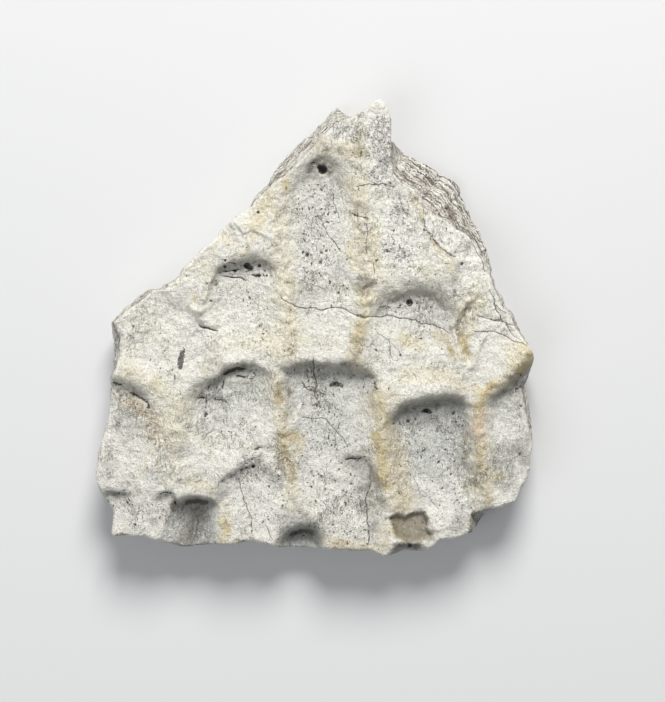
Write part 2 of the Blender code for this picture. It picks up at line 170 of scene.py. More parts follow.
# scoops: turn of the floor off -y towards +x in degrees, depth, width of the wall or of its two ends,
# run of the floor, soft widths of the left and right sides, height of the lip, how grey and speckled
# the floor is, and the line of the headwall from left to right
scoops = {
    "crown": dict(turn=2, depth=1.3, wall=5, length=24, sides=(5, 5), lip=0,
        grey=0.5, speck=1, line=[(-7, 13), (-4.6, 18), (-2.4, 21.4), (0.5, 22.6), (3.2, 21.6),
        (5.4, 18), (7.4, 13)]),
    "hood": dict(turn=0, depth=0.6, wall=1.5, length=5, sides=(1.5, 1.5), lip=0.15,
        grey=0.8, speck=0.4, line=[(-2.2, 21.2), (-1.2, 23.2), (0.2, 24.1), (1.7, 24.2), (3, 23.4),
        (4.2, 21)]),
    "northEast": dict(turn=-4, depth=0.6, wall=3.5, length=18, sides=(3, 4), lip=0,
        grey=0.3, speck=0.9, line=[(7.4, 18), (9, 22.5), (11, 24), (13, 21.5), (14.6, 17.5), (15.4, 13)]),
    "northWest": dict(turn=3, depth=1.6, wall=(1.8, 2.6), length=13, sides=(2, 5.5), lip=0.3,
        grey=0.35, speck=0.5, line=[(-15.4, 6), (-14.2, 7.9), (-12.6, 8.9), (-10.6, 9.4), (-8.8, 9.4),
        (-6.8, 8.8), (-5.2, 7.6), (-3.6, 5.4)]),
    "east": dict(turn=-6, depth=1.8, wall=3.8, length=13, sides=(5.5, 4.5), lip=0.2,
        grey=0.45, speck=0.9, line=[(6.4, -0.2), (8.7, 2.3), (9.7, 3.6), (11, 4.3), (13, 4.7),
        (15, 4.8), (17, 4.4), (18.5, 3.3), (19.7, 1.8), (21.8, 0)]),
    "centre": dict(turn=-2, depth=2.3, wall=(0.7, 3), length=22, sides=(5.4, 4.8), lip=0.25,
        grey=0.7, speck=0.9, line=[(-6.8, -7.4), (-5, -6.4), (-3, -5.9), (0, -5.5), (2, -5.5),
        (4.2, -5.7), (6.2, -6.2), (8, -7.4), (10.2, -9.6)]),
    "southEast": dict(turn=6, depth=2.7, wall=(2.5, 1.9), length=18, sides=(4, 3.6), lip=0.3,
        grey=1, speck=0.8, line=[(9, -16), (10.8, -13.8), (12, -12.6), (13, -11.8), (14.5, -11.1),
        (16, -10.8), (18, -10.4), (19.5, -10.4), (21, -11), (23.2, -12.6)]),
    "farEast": dict(turn=10, depth=1.6, wall=2.5, length=14, sides=(2.5, 2), lip=0.2,
        grey=0.6, speck=0.3, line=[(23.6, -12), (25, -10.5), (26.2, -9.6), (27.2, -8.7), (28.3, -8),
        (29.5, -6.9), (30.6, -5.5), (34, -2.5)]),
    "midWest": dict(turn=14, depth=1.7, wall=(3.4, 0.6), length=13, sides=(8, 5), lip=0.25,
        grey=0.6, speck=0.5, line=[(-21, -13.5), (-18, -10.8), (-16.8, -9.4), (-15.2, -8.2),
        (-13.6, -7.3), (-12.6, -6.5), (-11.3, -5.9), (-10, -5.6), (-8.6, -5.8), (-7.4, -6.6),
        (-4.6, -8.6)]),
    "west": dict(turn=-20, depth=0.75, wall=2.2, length=14, sides=(2, 4.5), lip=0.2,
        grey=0.4, speck=0.3, line=[(-31, -7.2), (-28.6, -8), (-27.2, -8.4), (-26, -9), (-25, -9.9),
        (-24, -11), (-23.2, -12.2), (-22, -14)]),
    "westBowl": dict(turn=0, depth=0.4, wall=2.6, length=10, sides=(4, 3), lip=0.1,
        grey=0.6, speck=0.3, line=[(-29, 1), (-25.5, 3.5), (-22, 4.2), (-19.5, 3), (-18, 1.4),
        (-16.8, 0.4), (-15.2, -0.3), (-14, -1)]),
    "lowWest": dict(turn=12, depth=0.6, wall=1.8, length=13, sides=(4.5, 5.5), lip=0.2,
        grey=0.8, speck=0.7, line=[(-16.4, -25), (-14.6, -23.2), (-13.4, -22.2), (-12.2, -21.3),
        (-10.8, -20.6), (-9.2, -20.1), (-7.8, -20), (-6, -20.7), (-2.4, -23.2)]),
    "ear": dict(turn=-8, flare=0.06, depth=2.7, wall=1.4, length=11, sides=(2.9, 3.2), lip=0.25,
        grey=1, speck=0.5, line=[(-21.8, -26.4), (-20, -25.4), (-18.5, -24.8), (-17, -24.6),
        (-15.8, -24.8), (-14.7, -25.3), (-13, -26.4)]),
    "littleEar": dict(turn=8, depth=0.8, wall=1.2, length=7, sides=(1.2, 0.8), lip=0.2,
        grey=0.7, speck=0.4, line=[(-23.4, -25.2), (-22.3, -24.1), (-21, -23.9), (-20.2, -24.3),
        (-19.4, -25.8)]),
    "corner": dict(turn=10, depth=0.9, wall=1.5, length=7, sides=(1, 1.5), lip=0.1,
        grey=0.7, speck=0.4, line=[(-31, -24.6), (-29, -23.8), (-28, -23.9), (-27, -23.4),
        (-26.2, -24.4), (-25.2, -26.8)]),
    "south": dict(turn=0, depth=3.4, wall=3, length=8, sides=(3.2, 3.2), lip=0.2,
        grey=0.9, speck=0.3, line=[(-6.6, -33.6), (-5.6, -31.8), (-4, -29.9), (-3, -29.4), (-2, -29.2),
        (-1, -29.3), (0, -29.8), (1.4, -31.6), (2.4, -33.4)]),
    "southTip": dict(turn=0, depth=2, wall=1.4, length=6, sides=(2.6, 2.6), lip=0.15,
        grey=0.8, speck=0.2, line=[(9.4, -34), (10.8, -32.4), (12, -31.4), (13.3, -31), (14.6, -31.4),
        (15.8, -32.4), (17, -34)]),
    "middle": dict(turn=6, depth=1.2, wall=1.9, length=9, sides=(1.5, 1.6), lip=0.1,
        grey=1, speck=0.6, line=[(3.2, -20.6), (4.2, -19.3), (5.2, -18.6), (6.4, -18.6), (7.6, -19.6),
        (8.8, -21.2), (10, -23.6)]),
    "farLow": dict(turn=-10, depth=0.7, wall=1.4, length=8, sides=(1, 1), lip=0.1,
        grey=0.8, speck=0.2, line=[(26.8, -24), (28, -20), (28.7, -18), (29.5, -16.4), (31.5, -15)]),
    "knot": dict(turn=0, depth=0.35, wall=1.2, length=4, sides=(1, 1), lip=0.1,
        grey=0, speck=0, line=[(4.8, 4.4), (6, 5.3), (7.2, 5.7), (8.4, 6.3), (9.4, 6.6)]),
}

# a scoop's profile
profile = {
    "above": 0.8,             # share of the wall that lies above its line
    "bend": 1.9,              # steepest just above its foot
    "drop": 0.86,             # share of the depth reached there
    "settle": 2.0,            # run of the floor that takes the rest
    "ends": 0.8,              # how much wider the wall is at both ends
    "climb": 1.3,             # how late the floor comes up again
    "lip": (0.7, 0.6),        # the lip's way back from the line, and its half width, in walls
    "shade": (0.55, 0.24),    # reach of the painted shade above and below the line, in walls
    "dusk": (0.35, 2.2),      # its fainter tail of painted shade on the floor: amount and run
}

# blunt ribs, sharp little folds and, with a height below nothing, valleys: half width, height, crest
ribs = {
    "midRib": (2, 0.4, (5.5, 25), (6.6, 20), (6.9, 14), (7.4, 9), (7.2, 6)),
    "midKnot": (1.1, 0.7, (7.2, 3.9), (6.4, 3.2), (6.3, -1)),
    "northRib": (2, 0.4, (-5, 20), (-5, 12), (-4.4, 6), (-4.2, 0), (-4.5, -4)),
    "westRib": (2, 0.6, (-28, -6), (-23.5, -8), (-19.6, -12), (-20.8, -16), (-22.3, -20)),
    "southWestRib": (1.2, 0.4, (-5.4, -8), (-4.8, -12), (-4.5, -16), (-3.4, -20), (-3, -25)),
    "southEastRib": (1.3, 0.4, (9.3, -10), (9.6, -14), (10.4, -19), (11.5, -25)),
    "eastRib": (1.1, 0.5, (23.2, -10), (23.3, -14), (23.8, -20), (24.2, -25)),
    "knob": (1.9, 1.2, (30, -3.9), (28.9, -4.9)),
    "knobArm": (0.8, 0.4, (27.4, -7), (26, -8), (24, -9.4), (23, -10.6)),
    "northWestFold": (0.45, 0.75, (-13.9, 8.6), (-14.5, 7.4), (-15.3, 5.4), (-16.1, 3.6), (-16.8, 2.2)),
    "bowlFold": (0.5, 0.2, (-18.4, 3.2), (-17.4, 1.9), (-16.4, 0.9), (-15.2, 0.4), (-14, 0)),
    "leftFold": (0.28, 0.45, (19.7, 0.4), (19.9, -0.8), (20.4, -2.9), (21.3, -5.4)),
    "rightFold": (0.35, 0.35, (23.8, -1.4), (23.1, -3.8), (22.3, -5.8)),
    "foldArch": (0.4, 0.4, (20, 0.9), (20.5, 2.1), (21.5, 3.5), (22.8, 3.9), (23.7, 3.3)),
    "foldValley": (0.6, -0.6, (23.2, 3.8), (22.4, 3), (21.4, 1.8), (20.9, 0.6), (20.7, -1.2), (21, -3),
        (21.6, -4.8)),
    "middleValley": (1.3, -0.5, (6.6, -19.6), (7.9, -22), (8.7, -24), (8.9, -26)),
    "eastHollow": (1.3, -0.25, (20.5, -20.6), (23.2, -22.4), (25.4, -20.4)),
    "brokenEdge": (0.25, 0.35, (-2, -11.4), (-2.5, -12.8), (-3.2, -13.7), (-4.4, -14.3), (-5.4, -15.2)),
    "tinyFold": (0.5, 0.35, (-12.4, -7.7), (-10.6, -7.6), (-9.2, -7.4)),
}

# flakes broken off: depth, width of the broken edge in plan, corners of the scar
scars = {
    "southFlake": (0.8, 0.5, (10.1, -27.4), (11.5, -26.4), (12.7, -26.9), (14, -26.4), (15.7, -26.4),
        (16.3, -27.5), (16, -28.6), (16.9, -29.9), (15, -29.9), (13.4, -30.8), (11.8, -30.1),
        (11, -28.8)),
    "terrace": (0.5, 0.6, (14.2, 19.6), (15.3, 16.6), (15.4, 14.2), (16.8, 12.3), (18.5, 10.7),
        (20.2, 9.6), (23, 9.4), (28, 10), (28, 26), (14, 26)),
    "northWestNotch": (0.5, 1.2, (-14.6, 12.6), (-12, 11.6), (-10.9, 13), (-11.6, 15), (-14, 18),
        (-18, 14)),
}

# edges where a thin layer stops: height, reach and line. The ground on its left is the higher.
ledges = {
    "northEast": (0.6, 1.8, (15.3, 16.4), (15.4, 14.4), (16.7, 12.4), (18.4, 10.8), (20, 9.8)),
    "midStep": (-0.45, 1.4, (5.2, 16.1), (6.1, 15.8), (7.7, 15.3), (8.4, 15.2)),
    "northWestStep": (0.3, 1.5, (-11.8, 15.3), (-10.4, 13.2), (-9.2, 13.8), (-6.5, 12.6), (-5.2, 11.7)),
    "southWestRidge": (0.45, 1.8, (-2.1, -11.6), (-2.9, -13.4), (-4.6, -14.8), (-5.3, -15.2)),
    "southStep": (0.4, 1.6, (15.2, -26.3), (16, -27.8), (16.4, -29.6)),
    "eastChip": (0.3, 1.2, (21.9, -27.4), (22.4, -28.4), (22.6, -29.6)),
    "peakEdge": (0.25, 1.2, (9.8, 26.2), (10.3, 24.4), (10.9, 22.6), (12.3, 20.6)),
}

# openings for vessels: x, y, radius, depth
openings = [
    (2.9, -8.3, 0.42, 0.5), (1, 22.5, 0.62, 0.9), (0.5, 22.9, 0.35, 0.5), (-9.8, 8.75, 0.5, 0.8),
    (-9.3, 8.4, 0.36, 0.6), (-8, 8.8, 0.24, 0.4), (-8.1, 7.4, 0.28, 0.4), (-11.5, 8.1, 0.26, 0.4),
    (-13, 8.6, 0.24, 0.4), (-12.9, 9.5, 0.2, 0.3), (-7, 7.4, 0.2, 0.3), (13.5, 3.5, 0.46, 0.8),
    (16, -12, 0.36, 0.7), (19.8, -12.4, 0.26, 0.5), (-15.7, -12.5, 0.26, 0.4),
    (-23.8, -11.4, 0.26, 0.4), (-8.9, -19.9, 0.3, 0.6), (13.5, -31.3, 0.3, 0.5),
    (-4.6, 22.2, 0.28, 0.4), (-1.2, 10.3, 0.26, 0.4), (0.7, 9.2, 0.24, 0.4), (1.5, 10.9, 0.22, 0.3),
    (3.3, 4.9, 0.24, 0.3), (10.3, 10.9, 0.24, 0.3), (20.9, 9, 0.2, 0.3), (-8.2, 16.4, 0.24, 0.3),
    (17.6, -19.4, 0.24, 0.3), (15.5, -17.8, 0.2, 0.3), (19.3, -21, 0.2, 0.3), (12.1, -4, 0.18, 0.3),
    (-20.1, -25.1, 0.26, 0.4), (29.2, -18.1, 0.2, 0.3),
]

# arched slits where a vessel leaves at a low angle: half width and line
slits = [
    (0.3, (1.9, -8.8), (2.3, -8.3), (2.9, -8), (3.5, -8.2), (4.1, -8.7)),
    (0.24, (15.2, -12.4), (15.7, -12), (16.3, -12), (16.8, -12.4)),
    (0.1, (15.4, 16.2), (15.5, 14.4), (16.8, 12.5), (18.1, 11.1), (19.7, 10.1), (20.8, 9.8)),
    (0.26, (-13.4, -7), (-12.4, -6.3), (-11.2, -5.9), (-9.8, -6)),
    (0.2, (-11.5, -7.1), (-10.6, -7), (-9.9, -7.3)),
    (0.12, (-9.6, -6.2), (-8.9, -6.4), (-8.5, -6.9), (-9, -7.4), (-9.9, -7.5)),
    (0.07, (-11.2, -20.7), (-10.2, -20.2), (-8.8, -19.8), (-7.9, -20)),
    (0.12, (-9, -17.7), (-8.1, -17.2), (-7.2, -17.4)),
    (0.1, (7.4, -6.6), (8.3, -7.5), (8.7, -8.8), (8.6, -10.6)), (0.04, (-22.6, -25.2), (-21.8, -24.9)),
    (0.1, (-10.2, -19.6), (-9.4, -19.2), (-8.8, -18.7)),
    (0.15, (-16.8, 0.25), (-15.9, -0.1), (-15, -0.3), (-13.8, -0.7)),
    (0.16, (-26.9, -9.2), (-25.6, -9.7), (-24.6, -10.4), (-23.5, -11.2)),
    (0.08, (-0.8, 23.3), (-0.2, 23.5), (0.4, 23.2)), (0.06, (-12.6, 9.2), (-11.8, 9.2), (-11.2, 9)),
    (0.07, (-13.6, 8), (-12.4, 8), (-11.3, 8.3), (-10.2, 8.4)),
    (0.07, (-13.5, 7.4), (-12.2, 7.1), (-10.8, 7.1), (-9.6, 6.5)),
    (0.12, (-9.2, 7.5), (-8.6, 7.3), (-7.9, 7.4)),
    (0.06, (-22.4, -24), (-21.8, -23.6), (-21, -23.5), (-20.4, -24)),
    (0.08, (-29.4, -23.6), (-28.6, -24), (-27.8, -23.6), (-27, -23.2)),
    (0.2, (-29, -7.9), (-28.2, -8.2), (-27.4, -8.2)), (0.14, (28.4, -8.9), (29.2, -8.7), (29.9, -8.5)),
    (0.14, (4, -18.9), (5, -18.8), (6, -19), (6.7, -18.6)),
    (0.1, (5.2, 16.2), (6.1, 15.9), (7.7, 15.4)), (0.12, (-16.9, -10.6), (-16.3, -10), (-15.8, -10.2)),
    (0.13, (-14.9, -9.7), (-14.4, -10.4), (-13.4, -10.5), (-12.5, -10.9)),
    (0.1, (-15.6, -9.6), (-15.7, -11.5), (-15.8, -13.5)),
    (0.14, (-13.1, -7.3), (-13.2, -8.2), (-13.4, -9.2)),
]

# pockets and slots where the spongy middle shows on the broken flanks: half width, depth, line
pockets = [
    (0.22, 0.35, (11.6, 22.8), (12.8, 22.2), (13.8, 21.3)),
    (0.25, 0.45, (12.2, 21.8), (13.6, 20.9), (15, 19.6)),
    (0.26, 0.5, (14.6, 21.6), (15.5, 20.9), (16, 20.2)),
    (0.45, 0.7, (16, 21.7), (16.8, 21.1), (17.4, 20.6)),
    (0.22, 0.4, (15.8, 22.6), (16.9, 22.3), (17.6, 21.8)),
    (0.22, 0.4, (17.6, 20.4), (18.6, 20), (19.6, 19.2)),
    (0.18, 0.35, (18.4, 19.2), (19.4, 18.6), (20.2, 18.2)),
    (0.2, 0.35, (14.4, 19.9), (15.8, 18.9), (17.2, 18.3)),
    (0.16, 0.3, (15, 18.4), (16.2, 17.2), (17.4, 16.2)),
    (0.6, 0.45, (18.7, 17.2), (19.6, 16.5), (20.2, 15.6)),
    (0.32, 0.45, (18.8, 16), (19.6, 15.5), (20.2, 15)),
    (0.13, 0.5, (20.7, 18.6), (21, 17), (21.1, 15.9), (21.9, 13.9), (22.8, 12.6), (23.4, 11.6),
     (24, 10.2)), (0.12, 0.35, (20.4, 15.8), (20.9, 14.4), (21.6, 13.7)),
    (0.07, 0.2, (11.2, 21.3), (13.2, 19.4), (14.8, 17.6), (16.6, 16.4), (18.6, 15.2), (21, 13.9),
     (22.6, 12.4)), (0.12, 0.25, (22, 15.6), (22.8, 14.2), (23.4, 13.4)),
    (0.1, 0.25, (24.3, 11.4), (24.7, 9.6), (25.2, 7.8)),
    (0.28, 0.4, (-6, 20.9), (-5.4, 21.7), (-5, 22.2)),
    (0.24, 0.4, (-2.4, 25), (-1.4, 26), (-0.4, 26.9)), (0.14, 0.25, (-4.2, 23.6), (-3, 24.8)),
    (0.12, 0.25, (0.2, 27.4), (1.6, 28.4), (2.4, 29.4)),
]

# hair cracks: half width and line. The second set meets or runs beside the first.
cracks = [
    (0.11, (-5.5, 4.8), (-4.5, 3.8), (-3, 3.1), (0, 2.8), (1.4, 2.5), (3.7, 2.7), (4.9, 2.1),
     (5.8, 1.7), (7.1, 1.4), (8.5, 1.5), (12.1, 1.2), (14.2, 1), (16.4, 0.4), (18, -0.2), (19.9, -0.9)),
    (0.08, (22.2, -0.5), (24.5, -0.7), (26.9, -1.2), (29.1, -2.2), (30.3, -2.9)),
    (0.26, (5.7, 1.75), (6.5, 1.45), (7.3, 1.4)),
    (0.07, (0.2, 16.2), (1.1, 14.9), (1.8, 13.1), (2.7, 12.3), (3.6, 10.6)),
    (0.06, (2.2, 20), (2.5, 17.9), (2.9, 17), (3.3, 15.3)),
    (0.09, (5.7, 19.9), (7, 20.2), (8.5, 20.3), (10, 20.35), (11.5, 20.1)),
    (0.06, (6.7, 9.4), (7.6, 9.4), (8.3, 9.2), (8.5, 7.6)),
    (0.14, (-0.3, -4.4), (-0.2, -7), (0, -10), (0.6, -11.6)),
    (0.08, (-2.2, -13), (0.95, -13), (2, -13.8), (2.9, -14.8), (4.8, -17.1)),
    (0.13, (7.9, -21.6), (7.4, -23.8), (7.2, -25), (7.4, -27.4), (7.6, -29.4), (7.5, -31.1)),
    (0.07, (-11.2, -21.4), (-10.6, -23.5), (-9.7, -26), (-9.1, -27.8), (-9.1, -28.9)),
    (0.05, (-6.9, -28.4), (-6, -30.6)), (0.05, (8.6, -0.5), (10.4, -1.8), (10.7, -3.2), (11, -4.9)),
    (0.04, (13.3, -5.8), (14.5, -7.8)), (0.09, (-17, -27.2), (-17.1, -28.6), (-16.9, -30.6)),
    (0.07, (21, 17), (21, 15.8), (21.6, 14.3), (22.8, 12.9), (23.4, 11.7), (24, 9.8)),
    (0.04, (-14.2, -20.8), (-13, -22.4)), (0.05, (16.8, -12.9), (18.2, -14.2), (19.8, -15.4)),
    (0.04, (13.9, -21), (15.4, -24.2), (17.8, -26.2)),
    (0.05, (-2.6, 7), (-1.2, 6.3), (0, 5.9), (1.6, 5.4)),
]
sideCracks = [
    (0.06, (-10.6, -19.6), (-9.6, -18.9), (-8.4, -18.6)),
    (0.04, (-17.6, -26.4), (-17.7, -28.2), (-18, -30.6)),
    (0.03, (-15.6, -26.4), (-15.2, -28.4), (-15, -30.4)),
    (0.03, (-18.8, -26.6), (-19.6, -28.6), (-20.2, -30.2)),
    (0.1, (5.1, 16.4), (5.7, 15.9), (6.6, 15.7), (7.7, 15.4)),
    (0.12, (23.2, 12.4), (23.9, 10.8), (24.7, 9.8), (25.2, 7.7), (26.1, 5.5), (26.8, 4.3)),
    (0.08, (23, 1.6), (25.9, 0.8), (29, 0.1)), (0.1, (25.4, 3.6), (25.9, 2.2), (26.6, 1), (27.8, -0.9)),
    (0.06, (21.9, 13.6), (23, 10.6), (24.2, 7.6)), (0.07, (24.6, 5.4), (25.6, 3.2), (27.6, 1.6)),
    (0.12, (-2, -7.9), (-1.3, -8.8), (-0.2, -9.3), (1.4, -9.7)),
    (0.14, (-0.5, -11.3), (0.1, -11), (0.8, -11.6)), (0.05, (22.8, 1.8), (25.2, 1.2), (27.1, 0.5)),
    (0.06, (3.4, -13.5), (2.9, -15), (2.4, -17.5)), (0.05, (7.2, 14.9), (7.25, 12.5), (7.3, 10.3)),
    (0.06, (-1.8, -8.8), (-0.9, -8.4), (-0.2, -8.9), (0.4, -10)),
    (0.05, (-1.4, -7.4), (-0.6, -7.2), (0.3, -7)),
    (0.04, (-0.6, 12), (0.6, 10.9), (1.6, 10.2), (2.4, 8.6)),
    (0.04, (10.4, -1.8), (11.8, -3.2), (12.2, -4.4)),
    (0.04, (-10.9, -22.4), (-10, -21.3), (-9.3, -20.6)),
    (0.05, (27.6, -0.2), (28.2, -1.2), (29.4, -1.9)), (0.04, (27.2, -20.8), (28, -19), (29.6, -18.2)),
]
